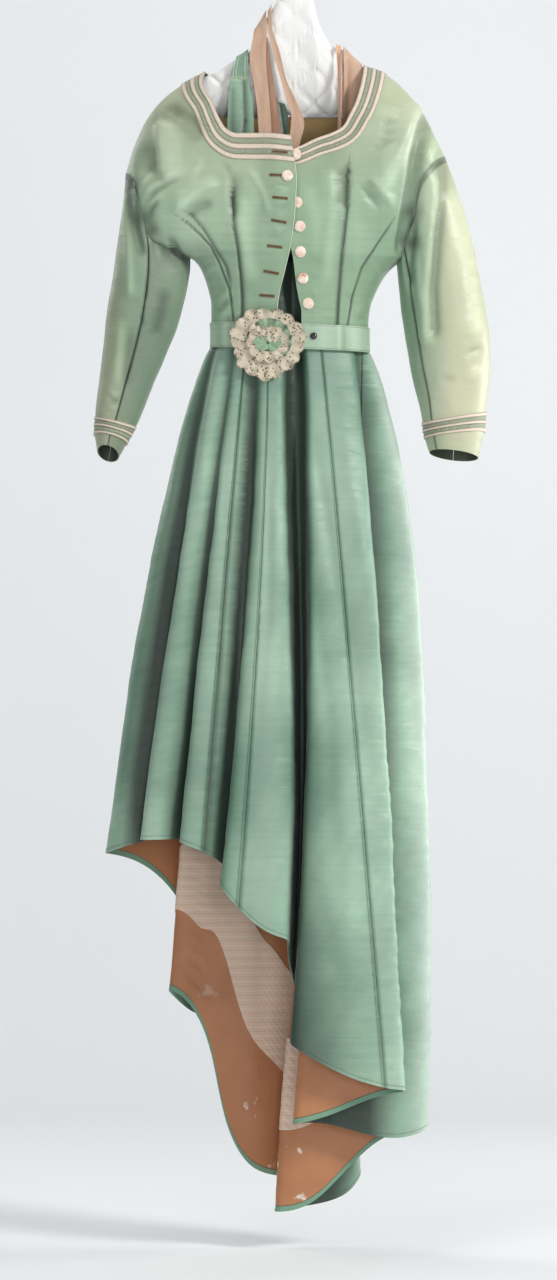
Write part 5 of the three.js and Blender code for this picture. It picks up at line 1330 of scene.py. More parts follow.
sleeve_rings = np.linspace(0, 9, 9 * RING_STEPS + 1)


def sleeve_uvs(points):
    across = np.linalg.norm(np.diff(points, axis=1), axis=-1).mean(0)
    down = np.linalg.norm(np.diff(points, axis=0), axis=-1).mean(1)
    u, v = np.concatenate(([0], np.cumsum(across))), np.concatenate(([0], np.cumsum(down)))
    return np.stack(np.meshgrid(u, v), axis=-1)


# Painted shade of an under sleeve, which faces the body: all over, more at the armhole, and how many rings
# that reaches.
UNDER_SHADE = {"right": (0.22, 0.4, 1.1), "left": (0.0, 0.35, 1.0)}
sleeve_stitches, armhole_cords = [], []
for side in ("right", "left"):
    seam = SLEEVE_SEAM[side]
    for part, start, end in (("upper", BACK_SEAM - 360, seam), ("under", seam, BACK_SEAM)):
        inner = np.linspace(start + 1.0, end - 1.0, round((end - start) / SLEEVE_TURN))
        degrees = np.concatenate(([start + 0.35], inner, [end - 0.35]))
        points, normals = sleeve_points(side, sleeve_rings, degrees)
        uvs = sleeve_uvs(points)
        dip = np.zeros(points.shape[:2])
        dip[:, [0, -1]] = -1.0
        sunk = points + normals * dip[..., None]
        name = f"sleeve_{part}_{side}"
        x, z = points[..., 0], points[..., 2]
        # Painted shade in the creases and painted highlight on the ridges, with the piece's tone.
        light_and_shade = np.where(points[..., 1] < 0, cloth_light_and_shade(x, z, -1), cloth_light_and_shade(x, z, 1)) + PIECE_TONE[side]
        light_and_shade[:, [0, 1, -2, -1]] -= 0.45
        # The rings at the armhole are painted darker, as shade.
        light_and_shade[:3] -= 0.5
        # An under sleeve faces the body and gets painted shade.
        if part == "under":
            plain, shaded, reach = UNDER_SHADE[side]
            light_and_shade -= plain + shaded * np.exp(-(sleeve_rings[:, None] / reach) ** 2)
        piece = wall_piece(name, sunk, normals, -SILK, 0.0, uvs, bodice_silk,
                           stands=True, light_and_shade=light_and_shade)
        declare_sheet(points)
        sleeve_stitches.append(points[6:-2, 1] + normals[6:-2, 1] * 0.15)
    hole_points, hole_normals = sleeve_points(side, np.array([0.0, 0.06]), np.arange(0, 361, 3.0))
    armhole_cords.append(hole_points[0] - hole_normals[0] * 0.5)
armhole_silk = taffeta("armhole_silk", srgb(118, 142, 112), srgb(88, 112, 86), roughness=0.5)
lay_cord("armhole_piping", armhole_cords, 0.0011, armhole_silk)
sew("sleeve_stitches", sleeve_stitches, (0.004, 0.003, 0.0003), seam_thread)

CUFF_ROWS = {"right": [7.16, 7.52, 7.98], "left": [7.1, 7.48, 7.88]}
CUFF_SPAN = 0.17
CUFF_SHARES = [share for share, height in BRAID_CROWN]
cuff_degrees = np.arange(0, 360, 5.0)
cuff_stitches = []
for side, places in CUFF_ROWS.items():
    for row, place in enumerate(places):
        bands = [(f"cuff_braid_{row + 1}_{side}", place, place + CUFF_SPAN, cream_braid, "braid", 0.5, 1.3)]
        if row < 2:
            bands.append((f"cuff_band_{row + 1}_{side}", place + CUFF_SPAN + 0.02, places[row + 1] - 0.02,
                          band_cloth, "bodice_silk", 0.1, 0.8))
        for name, low, high, material, slot, near, rise in bands:
            rings = np.array([lerp(low, high, share) for share in CUFF_SHARES])
            points, normals = sleeve_points(side, rings, cuff_degrees)
            heights = np.array([near + 0.2 + rise * height for share, height in BRAID_CROWN])[:, None]
            heights = np.broadcast_to(heights, points.shape[:2])
            along = np.broadcast_to(np.linspace(0, 230, len(cuff_degrees)), points.shape[:2])
            across = np.array([share * BRAID_LINES[0][1] for share in CUFF_SHARES])[:, None] + 0 * along
            uvs = np.stack([along, across], axis=-1)
            wall_piece(name, points, normals, near - 0.2, heights, uvs, material, around=True,
                       stands=slot == "braid")
            if slot == "braid":
                for line in (1, 4):
                    path = points[line] + normals[line] * (heights[line] + 0.15)[:, None]
                    cuff_stitches.append(np.concatenate((path, path[:1])))
sew("cuff_stitches", cuff_stitches, (0.0034, 0.0024, 0.0003), stitch_thread)

# ------------------------------------------------------------------ seams, piped edge and buttonholes
# Dark stitches mark the darts, curved side seams and armholes; the lapping edge is piped with silk
# cord, and seven holes are worked in brown buttonhole twist beside it.
def along_front(xz, count):
    """Evenly spaced places on a smooth line through x, z points."""
    return np.stack(outline(xz)(np.linspace(0, 1, count)), axis=-1)


def on_front(x, z, height):
    """Points at a height above the creased front; the right front laps over the left."""
    points, normals = form_surface(x, z, -1, lap_lift(x, z))
    return points + normals * height


body_stitches = []
for folds, side in ((FRONT_CREASES, -1), (BACK_CREASES, 1)):
    for name, height, left, right, points in folds:
        if name in SEWN_FOLDS:
            path = along_front([p for p in points if p[1] > -690] + [(points[-1][0], -686)], 60)
            lift = lap_lift(path[:, 0], path[:, 1]) if side < 0 and path[0][0] < 0 else 0.0
            placed, normals = form_surface(path[:, 0], path[:, 1], side, lift)
            body_stitches.append(placed + normals * 0.12)
for side in ("right", "left"):
    x, z = ARMHOLES[side](np.linspace(0.02, 0.98, 60))
    inward = 1.6 if side == "right" else -1.6
    for face in (-1, 1):
        placed, normals = form_surface(x + inward, z + 0.8, face)
        body_stitches.append(placed + normals * 0.15)
sew("bodice_stitches", body_stitches, (0.0036, 0.0028, 0.00032), seam_thread)

piping_silk = taffeta("piping_silk", srgb(205, 216, 190), srgb(170, 196, 166), roughness=0.45)
edge_z = np.linspace(-384, BODICE_HEM_Z + 2, 120)
edge_x = FRONT_EDGES["right"](edge_z)
piping = [on_front(edge_x, edge_z, -0.2)]
lay_cord("front_edge_piping", piping, 0.0011, piping_silk)

hole_twist = thread("buttonhole_twist", srgb(178, 122, 70), srgb(128, 82, 44))
OVER_BRAID_Z = -380                       # above this a hole is worked through the braid
BUTTONHOLES = [(-22, -372, 2.0), (-27, -411, 1.5), (-22, -449, 2.2), (-24, -488, 4.5), (-31, -530, 3.0),
               (-37, -573, 4.0), (-44, -612, 2.0)]
HOLE_HALF = 12.6
STITCHES_A_SIDE = 30
hole_threads = []
for x0, z0, drop in BUTTONHOLES:
    lift_over = 1.6 if z0 > OVER_BRAID_Z else 0.15
    places = []
    for side in (1, -1):
        for i in range(STITCHES_A_SIDE + 1):
            s = side * (2 * i / STITCHES_A_SIDE - 1) * HOLE_HALF
            for away in (0.3, 2.3 + 0.25 * math.sin(5.0 * i + x0)):
                places.append((x0 + s, z0 - drop * s / (2 * HOLE_HALF) + side * away))
    places = np.array(places)
    places[:, 0] += 0.12 * np.sin(np.arange(len(places)) * 2.7)
    ups = np.tile([0.1, 0.55], len(places) // 2)[:, None] + lift_over
    hole_threads.append(on_front(places[:, 0], places[:, 1], ups))
lay_cord("buttonhole_threads", hole_threads, 0.0005, hole_twist)

# A dark cord in each slit stands for the shadow in the opening: painted shade.
slit_dark = thread("slit_shadow", srgb(92, 62, 38), srgb(60, 42, 26))
slits = []
for x0, z0, drop in BUTTONHOLES:
    s = np.linspace(-HOLE_HALF + 1, HOLE_HALF - 1, 12)
    slits.append(on_front(x0 + s, z0 - drop * s / (2 * HOLE_HALF), 1.5 if z0 > OVER_BRAID_Z else 0.05))
lay_cord("buttonhole_slits", slits, 0.0004, slit_dark)

# ------------------------------------------------------------------ buttons
# Seven wooden moulds covered in pinkish cream silk, gathered behind; the sixth is worn through and
# shows its orange core threads.
BUTTONS = [(4, -375, "braid"), (-10, -412, "right"), (6, -456, "left"), (11, -496, "left"),
           (12, -539, "left"), (16, -583, "left"), (25, -625, "left")]
BUTTON_SEATS = {"left": 0.5, "right": 0.2, "braid": 2.0}
BUTTON_RADIUS = 9.6
BUTTON_PROFILE = [(0, 0), (0.55, 0), (0.86, 0.12), (0.985, 0.34), (1, 0.46), (0.975, 0.62), (0.9, 0.8),
                  (0.78, 0.95), (0.6, 1.06), (0.4, 1.12), (0.2, 1.14), (0, 1.145)]
BUTTON_HEIGHT = 4.4


def turned(profile, radius, height, sides, wobble=0.0):
    """Rings of a turned form on its own axis; the first and last profile point lie on the axis."""
    angles = 2 * math.pi * np.arange(sides) / sides
    rings = []
    for r, h in profile:
        uneven = 1 + wobble * np.sin(5 * angles + 9 * h) + wobble * np.sin(9 * angles + 4)
        rings.append(np.stack([radius * r * uneven * np.cos(angles), radius * r * uneven * np.sin(angles),
                               np.full(sides, height * h)], axis=-1))
    return np.array(rings)


def closed_tube(name, rings, material, replaces=()):
    """A closed skin over rings of points; the first and the last ring shrink to one point each."""
    rows, sides = rings.shape[:2]
    inside = rings[1:-1].reshape(-1, 3)
    points = np.concatenate((inside, rings[[0, -1]].mean(1)))
    c = np.arange(sides)
    n = (c + 1) % sides
    low = (rows - 3) * sides
    quads = [np.stack([r + c, r + n, r + sides + n, r + sides + c], 1) for r in range(0, low, sides)]
    first, last = np.full(sides, len(inside)), np.full(sides, len(inside) + 1)
    caps = [np.stack([first, n, c, first], 1), np.stack([last, low + c, low + n, last], 1)]
    faces = outward(points - points.mean(0), np.concatenate(quads + caps)).tolist()
    mesh = smooth_mesh(name, points, [face[:3] if face[0] == face[3] else face for face in faces], material)
    return hand_over(name, mesh, replaces)


def turned_piece(name, rings, place, normal, material):
    """A turned form set on the gown at a place, with its axis along the normal."""
    side = normalised(np.cross(normal, (0.0, 0.0, 1.0)))
    up = np.cross(side, normal)
    placed = place + rings[..., :1] * side + rings[..., 1:2] * up + rings[..., 2:] * normal
    return closed_tube(name, placed, material, replaces=(name,))


look = Look("button_silk", {"Roughness": 0.62, "Sheen Weight": 0.3})
soft = look.spread(look.noise(look.place, 95.0, 4.0), 0.36, 0.62)
weave = look.noise(look.place, 900.0, 1.0)
silk_tone = look.mix(soft, srgb(222, 190, 172), srgb(240, 226, 212))
button_silk = look.finish(silk_tone, look.bump(weave, 0.35, 0.0004))
for i, (x, z, on) in enumerate(BUTTONS):
    lift = lap_lift(x, z) if on == "right" else 0.0
    place, normal = form_surface(np.array([x], float), np.array([z], float), -1, lift, relief=False)
    rings = turned(BUTTON_PROFILE, BUTTON_RADIUS, BUTTON_HEIGHT, 28, 0.012)
    name = f"button_{i + 1}"
    turned_piece(name, rings, place[0] + normal[0] * BUTTON_SEATS[on], normal[0], button_silk)

worn_thread = thread("worn_orange_thread", srgb(224, 150, 96), srgb(190, 108, 60))
place, normal = form_surface(np.array([16.0]), np.array([-583.0]), -1, 0.0, relief=False)
loops = []
for i in range(9):
    angle = 0.5 + 2.4 * i / 8 + 0.2 * math.sin(3.0 * i)
    reach = BUTTON_RADIUS * (0.55 + 0.07 * (i % 4))
    middle = np.array([math.cos(angle) * reach, -5.6, math.sin(angle) * reach])
    turn = np.linspace(0, 1.5 * math.pi, 9) + i
    size = 1.6 + 0.35 * (i % 3)
    curl = np.stack([size * np.cos(turn), -0.7 * np.sin(turn * 1.5) - 0.4, size * np.sin(turn)], axis=-1)
    loops.append(place[0] + middle + curl)
lay_cord("worn_button_threads", loops, 0.00035, worn_thread)

# ------------------------------------------------------------------ belt and rosette
# A stiffened silk belt hooks in front under a rosette of gathered silk and two frills of cotton lace.
BELT_HEIGHT = 43
BELT_WALL = 2
BELT_LIE = 0.9
BELT_OPEN_TURN = 76.5
BELT_LEVEL = -665                         # level of the body whose outline the belt follows


def belt_middle(x):
    return -679.5 - 0.033 * (x - WAIST_X)


def belt_place(turn):
    half = (LEFT_SIDE(BELT_LEVEL) - RIGHT_SIDE(BELT_LEVEL)) / 2
    centre = (LEFT_SIDE(BELT_LEVEL) + RIGHT_SIDE(BELT_LEVEL)) / 2
    x = centre - half * signed_power(np.cos(turn), 0.833)
    return x, -HALF_DEPTH(BELT_LEVEL) * signed_power(np.sin(turn), 0.833)


def belt_normal(turn):
    x0, y0 = belt_place(turn - 0.02)
    x1, y1 = belt_place(turn + 0.02)
    return normalised(np.stack([y1 - y0, x0 - x1, 0 * x0], axis=-1))


belt_turns = np.radians(BELT_OPEN_TURN + 0.6 + 358.8 * np.linspace(0, 1, 289))
x, y = belt_place(belt_turns)
belt_normals = belt_normal(belt_turns)
belt_edges = np.array([1, 0.97, 0.88, 0.6, 0.3, 0, -0.3, -0.6, -0.88, -0.97, -1])
points = np.stack([np.stack([x, y, belt_middle(x) + e * BELT_HEIGHT / 2], axis=-1) for e in belt_edges])
normals = np.broadcast_to(belt_normals, points.shape)
gathers = 0.5 * np.sin(x / 3.1 + 0.8 * np.sin(x / 23)) * np.exp(-((x + 112) / 34) ** 2) * (y < 0)
tucks = sum(h * np.exp(-((x - at) / w) ** 2) * (y < 0) for at, w, h in
            ((76, 2.6, 0.9), (85, 3.4, -0.7), (20, 5, 0.4), (48, 14, 0.5), (102, 9, 0.5)))
soft = 0.5 * waves(points, BODICE_WAVES)
rounded = np.array([-0.9, -0.25, 0, 0, 0, 0, 0, 0, 0, -0.25, -0.9])[:, None]
heights = BELT_LIE + BELT_WALL + rounded + 0.6 * gathers + 0.6 * tucks + np.clip(soft, -0.6, 0.5)
along = np.concatenate(([0], np.cumsum(np.hypot(np.diff(x), np.diff(y)))))
uvs = np.stack([np.broadcast_to(along, heights.shape), points[..., 2]], axis=-1)
# Painted light over the whole belt and on the crests of its gathers and tucks, painted shade in their
# hollows.
belt_light_and_shade = 0.38 + 0.55 * gathers + 0.6 * tucks + 0 * heights
belt = wall_piece("belt", points, normals, BELT_LIE, heights, uvs, bodice_silk,
                  stands=True, light_and_shade=belt_light_and_shade)
declare_sheet(points)
stitches = [points[r, 2:-2] + normals[r, 2:-2] * (heights[r, 2:-2] + 0.12)[:, None] for r in (2, 8)]
sew("belt_stitches", stitches, (0.004, 0.003, 0.00028), seam_thread)

look = Look("jet_bead", {"Roughness": 0.12, "Coat Weight": 0.6})
jet = look.finish(look.mix(look.noise(look.place, 240.0), srgb(12, 10, 10), srgb(36, 30, 28)))
bead_turn = math.radians(103.5)
bead_normal = belt_normal(bead_turn)
bead_foot = np.array([*belt_place(bead_turn), -680.0]) + bead_normal * (BELT_LIE + BELT_WALL + GAP + 0.4)
BEAD_PROFILE = [(0, 0), (0.7, 0), (0.95, 0.12), (1, 0.3), (0.95, 0.5), (0.8, 0.72), (0.6, 0.87),
                (0.35, 0.96), (0, 1)]
turned_piece("belt_hook_bead", turned(BEAD_PROFILE, 6, 5, 24), bead_foot, bead_normal, jet)

ROSETTE_X, ROSETTE_Z = -42, -692
ROSETTE_SEAT = BELT_LIE + BELT_WALL + 0.8


def rosette_surface(radius, angle):
    """Places on the waist carried straight down, round the rosette's middle."""
    x = ROSETTE_X + radius * np.cos(angle)
    flat, normals = form_surface(x, np.full(np.shape(x), -665.0), -1, 0.0, relief=False)
    normals = normalised(normals * (1, 1, 0))
    return np.stack([x, flat[..., 1], ROSETTE_Z + radius * np.sin(angle)], axis=-1), normals


def frill(name, radii, heights, thick, material, light_and_shade=None):
    """A closed ring of cloth; radii and heights are given for every row and angle."""
    angles = np.broadcast_to(2 * math.pi * np.arange(radii.shape[1]) / radii.shape[1], radii.shape)
    points, normals = rosette_surface(radii, angles)
    uvs = np.stack([angles * 40, radii], axis=-1)
    made = wall_piece(name, points, normals, heights, heights + thick, uvs, material, around=True,
                      stands=True, light_and_shade=light_and_shade)
    declare_sheet(points + normals * heights[..., None], around=True)
    return points + normals * (heights + thick)[..., None]


look = Look("cotton_lace", {"Roughness": 0.9, "Sheen Weight": 0.15})
net = node(look.tree, "ShaderNodeTexVoronoi", {"Vector": look.place, "Scale": 210.0}).outputs["Distance"]
sprig = look.noise(look.place, 70.0, 3.0)
solid = look.maths("MAXIMUM", look.spread(net, 0.24, 0.36), look.spread(sprig, 0.52, 0.58))
lace_tone = look.mix(sprig, srgb(180, 166, 142), srgb(220, 210, 190))
# Where the net is open the lace is painted dark: painted shade standing for the holes.
lace = look.finish(look.mix(solid, srgb(78, 80, 58), lace_tone), look.bump(solid, 0.8, 0.0012))

t = np.linspace(0, 1, 10)[:, None]
a = 2 * math.pi * np.arange(168)[None, :] / 168
radii = 4 + 50 * t + 0 * a
pleats = 1.3 * t * np.sin(11 * a + 2.2 * t + np.sin(2 * a)) + 0.5 * t * np.sin(23 * a)
heights = ROSETTE_SEAT + 0.3 + 1.8 * t + np.maximum(pleats, -1.4 - t)
# The silk base's pleats are painted lighter on their crests and darker in their folds: painted highlight and
# painted shade.
frill("rosette_base", radii, heights, 1.0, bodice_silk, pleats / 2.4 - 0.15)

SCALLOPS = 17
a = 2 * math.pi * np.arange(SCALLOPS * 14)[None, :] / (SCALLOPS * 14)
uneven = 1 + 0.05 * np.sin(3 * a + 0.6) + 0.03 * np.sin(7 * a)
edge = (56 + 4.6 * np.abs(np.sin(a * SCALLOPS / 2 + 0.5 * np.sin(2 * a)))) * uneven
start = 37 + 5 * np.sin(a + 0.4)
radii = start + (edge - start) * t
cockles = 2.2 * np.cos(a * SCALLOPS + 1.3 * np.sin(3 * a)) + 0.8 * np.sin(5 * a)
heights = ROSETTE_SEAT + 3.4 + 3.4 * t + t * cockles
outer_rim = frill("rosette_lace_outer", radii, heights, 0.8, lace)[-1]

INNER_SCALLOPS = 11
a = 2 * math.pi * np.arange(INNER_SCALLOPS * 16)[None, :] / (INNER_SCALLOPS * 16)
edge = 31 + 3.5 * np.abs(np.sin(a * INNER_SCALLOPS / 2)) - 7 * np.exp(-((a - 1.7) / 0.7) ** 2)
start = 16 + 2 * np.sin(a)
radii = start + (edge - start) * t
heights = ROSETTE_SEAT + 6.2 + 2.6 * t + 1.8 * t * np.cos(a * INNER_SCALLOPS + np.sin(2 * a))
inner_rim = frill("rosette_lace_inner", radii, heights, 0.8, lace)[-1]

a = 2 * math.pi * np.arange(120)[None, :] / 120
radii = 2 + 15 * t + 5 * t * np.cos(2 * a) + 1.2 * t * np.sin(5 * a)
heights = ROSETTE_SEAT + 5.6 + 3.0 * t + 1.2 * t * np.sin(6 * a + 2) + 0.5 * np.sin(13 * a) * t
frill("rosette_centre", radii, heights, 1.2, bodice_silk)

picot_paths = [np.concatenate((rim, rim[:1])) for rim in (outer_rim, inner_rim)]


def picot_edge(material):
    """Tiny thread loops set side by side along the edge of the lace."""
    tree, given = tree_with_inputs("picot_edge", ("Pitch", "Loop", "Radius"))
    spaced = node(tree, "GeometryNodeCurveToPoints", {"Curve": given["Geometry"], "Length": given["Pitch"]},
                  mode="LENGTH")
    circles = [{"Resolution": 7, "Radius": given["Loop"]}, {"Resolution": 3, "Radius": given["Radius"]}]
    ring, section = (node(tree, "GeometryNodeCurvePrimitiveCircle", row).outputs[0] for row in circles)
    loop = node(tree, "GeometryNodeCurveToMesh", {"Curve": ring, "Profile Curve": section}).outputs[0]
    upright = (math.radians(90), 0, 0)
    laid = node(tree, "GeometryNodeInstanceOnPoints", {
        "Points": spaced.outputs["Points"], "Instance": loop, "Rotation": upright}).outputs[0]
    return end_tree(tree, laid, material)


grow_on_paths("lace_picots", picot_paths, picot_edge, {"Pitch": 0.0026, "Loop": 0.0011, "Radius": 0.0003},
              lace)

# A loose end of the same lace lies across the rosette from its upper left to the middle.
strand_line = [(-70, -664), (-58, -672), (-46, -679), (-34, -683), (-24, -686)]
strand = along_front(strand_line, 40)
direction = normalised(np.gradient(strand, axis=0))
beside = np.stack([-direction[:, 1], direction[:, 0]], axis=-1)
rows = []
for share in np.linspace(-1, 1, 7):
    half = 7.5 + 1.4 * np.sin(np.arange(40) * 0.9) * abs(share)
    at = strand + beside * (share * half)[:, None]
    flat, normals = rosette_surface(np.hypot(at[:, 0] - ROSETTE_X, at[:, 1] - ROSETTE_Z),
                                    np.arctan2(at[:, 1] - ROSETTE_Z, at[:, 0] - ROSETTE_X))
    height = ROSETTE_SEAT + 10.0 + 1.2 * np.sin(np.arange(40) * 0.8 + share) - 1.6 * share**2
    rows.append(flat + normals * height[:, None])
points = np.array(rows)
normals = np.broadcast_to(normals, points.shape)
uvs = np.stack(np.meshgrid(np.arange(40.0), np.arange(7.0) * 2), axis=-1)
strand_piece = wall_piece("rosette_lace_strand", points, normals, -0.8, 0.0, uvs, lace)
declare_sheet(points)

# ------------------------------------------------------------------ padded hanger
# A wooden hanger wrapped in wadding and covered in white cotton, machine quilted in diamonds, with a
# bright steel wire hook. It carries the gown's shoulders and the loops.
PAD_STATIONS = [
    (-261.1, -342.3, -348.6, 5), (-255.1, -326.3, -355, 10), (-225.5, -282.4, -326.4, 13),
    (-187.9, -252.1, -311, 16), (-124, -224, -306, 19), (-99, -207, -306, 21), (-78, -197, -306, 22),
    (-60, -166, -306, 22), (-46, -138, -306, 22), (-26, -105, -306, 20), (-12, -76, -306, 18),
    (4, -60, -306, 17), (20, -76, -306, 18), (34, -105, -306, 20), (42, -139, -306, 22), (68, -184, -306, 22),
    (87, -191, -306, 21), (114, -219, -306, 19), (154.4, -232.8, -309.1, 16), (195.1, -268.1, -323.9, 13),
    (227.1, -314.3, -357.5, 10), (233.1, -330.3, -343.9, 5),
]                                         # x, top, bottom, half thickness
QUILT_STEP = 62                           # mm between stitch lines, measured along x
QUILT_LINES = (-125.5, 130.5)             # x + z, and x - z, on one line of each slant
GROOVE_DEPTH = 4.4
PAD_SIDES = 72
pad_table = np.array(PAD_STATIONS)
pad_x = np.linspace(pad_table[0, 0], pad_table[-1, 0], 230)
pad_top, pad_bottom, pad_thick = (
    smooth_table(pad_table[:, [0, i]])(pad_x)[:, None] for i in (1, 2, 3))
turn = 2 * math.pi * np.arange(PAD_SIDES) / PAD_SIDES
half = (pad_top - pad_bottom) / 2
rings = np.stack([
    pad_x[:, None] + 0 * turn, pad_thick * signed_power(np.sin(turn), 0.8),
    (pad_top + pad_bottom) / 2 + half * signed_power(np.cos(turn), 0.95)], axis=-1)
normals = normalised(np.cross(np.gradient(rings, axis=0), np.roll(rings, -1, 1) - np.roll(rings, 1, 1)))
normals *= np.sign(np.median(normals[..., 1] * rings[..., 1]))


def quilt_distance(x, z):
    """Distance from the nearest stitch line, and the run along it."""
    away, run = [], []
    for value, other, line in ((x + z, x - z, QUILT_LINES[0]), (x - z, x + z, QUILT_LINES[1])):
        away.append(np.abs((value - line + QUILT_STEP / 2) % QUILT_STEP - QUILT_STEP / 2) / math.sqrt(2))
        run.append(other / math.sqrt(2))
    nearer = away[0] < away[1]
    return np.where(nearer, away[0], away[1]), np.where(nearer, run[0], run[1])


away, run = quilt_distance(rings[..., 0], rings[..., 2])
puckers = 0.35 * np.sin(run / 1.3 + 2 * np.sin(run / 11)) * np.exp(-(away / 8) ** 2)
sag = 0.9 * waves(rings, BODICE_WAVES) - 1.2
grooves = -GROOVE_DEPTH * np.exp(-(away / 3.4) ** 1.2)
face = np.clip(np.abs(normals[..., 1]) * 1.6, 0, 1)
end_fade = ease(np.minimum(pad_x - pad_x[0], pad_x[-1] - pad_x) / 20)[:, None]
relief = (np.minimum(grooves + puckers, 0) + np.clip(sag, -2.4, 0)) * face * end_fade
rings = rings + normals * relief[..., None]
caps = [ring.mean(0) + (ring - ring.mean(0)) * 0.02 + (step, 0, 0)
        for ring, step in ((rings[0], -1.5), (rings[-1], 1.5))]

look = Look("quilted_cotton", {"Roughness": 0.82, "Sheen Weight": 0.15})
cloud = look.mix(look.noise(look.place, 14.0, 3.0), srgb(226, 227, 226), srgb(240, 240, 238))
puffed = look.bump(look.noise(look.place, 60.0, 3.0, 0.8), 0.22, 0.004)
quilt_cotton = look.finish(cloud, look.bump(look.noise(look.place, 1400.0), 0.3, 0.0004, puffed))
pad = closed_tube("hanger_pad_quilted", np.concatenate(([caps[0]], rings, [caps[1]])), quilt_cotton,
                  replaces=("hanger_pad",))

quilt_thread = thread("quilt_thread", srgb(214, 212, 206), srgb(190, 188, 182))
quilt_paths = []
for slant, line in ((1, QUILT_LINES[0]), (-1, QUILT_LINES[1])):
    for k in range(-7, 8):
        xs = np.arange(-240.0, 215.0, 2.0)
        zs = slant * (line + k * QUILT_STEP - xs)
        columns = (pad_top, pad_bottom, pad_thick)
        top, bottom, thick = (np.interp(xs, pad_x, column[:, 0]) for column in columns)
        level = (zs - (top + bottom) / 2) / ((top - bottom) / 2)
        on_pad = np.abs(level) < 0.9
        depth = thick * (1 - np.abs(level) ** (2 / 0.95)) ** 0.4 - GROOVE_DEPTH - 0.7
        for face_side in (-1, 1):
            path = np.stack([xs, face_side * depth, zs], axis=-1)[on_pad]
            if len(path) > 4:
                quilt_paths.append(path)
sew("quilting_stitches", quilt_paths, (0.0036, 0.0026, 0.0003), quilt_thread)

WIRE_RADIUS = 2
HOOK_RADIUS = 21                          # to the wire's middle
bend = np.radians(np.linspace(-72, 180, 85))
hook_x, hook_z = HOOK_RADIUS * np.cos(bend), WIRE_RADIUS - HOOK_RADIUS + HOOK_RADIUS * np.sin(bend)
stem = [(4, 0, -59.7), (4, 0, -57), (4, 0, -54), (3.4, 0, -50.5), (3.4, 0, -46), (4.3, 0, -42)]
wire = np.concatenate((stem, np.stack([hook_x, 0 * bend, hook_z], axis=-1)))
along = normalised(np.gradient(wire, axis=0))
across = np.stack([along[:, 2], 0 * along[:, 0], -along[:, 0]], axis=-1)
turn = 2 * math.pi * np.arange(20) / 20
round_off = np.ones(len(wire))
round_off[[0, -1]] = 0.02
round_off[[1, -2]] = 0.96
circle = across[:, None] * np.cos(turn)[:, None] + np.array([0, 1, 0]) * np.sin(turn)[:, None]
rings = wire[:, None] + WIRE_RADIUS * round_off[:, None, None] * circle
look = Look("bright_steel", {"Metallic": 1.0})
scratch = look.noise(look.stretch(look.place, 900.0, 900.0, 60.0), 1.0)
brushed = look.mix(scratch, srgb(176, 178, 180), srgb(212, 213, 214))
steel = look.finish(brushed, roughness=look.spread(scratch, 0.0, 1.0, 0.2, 0.42))
closed_tube("hanger_hook_wire", rings, steel, replaces=("hanger_hook",))

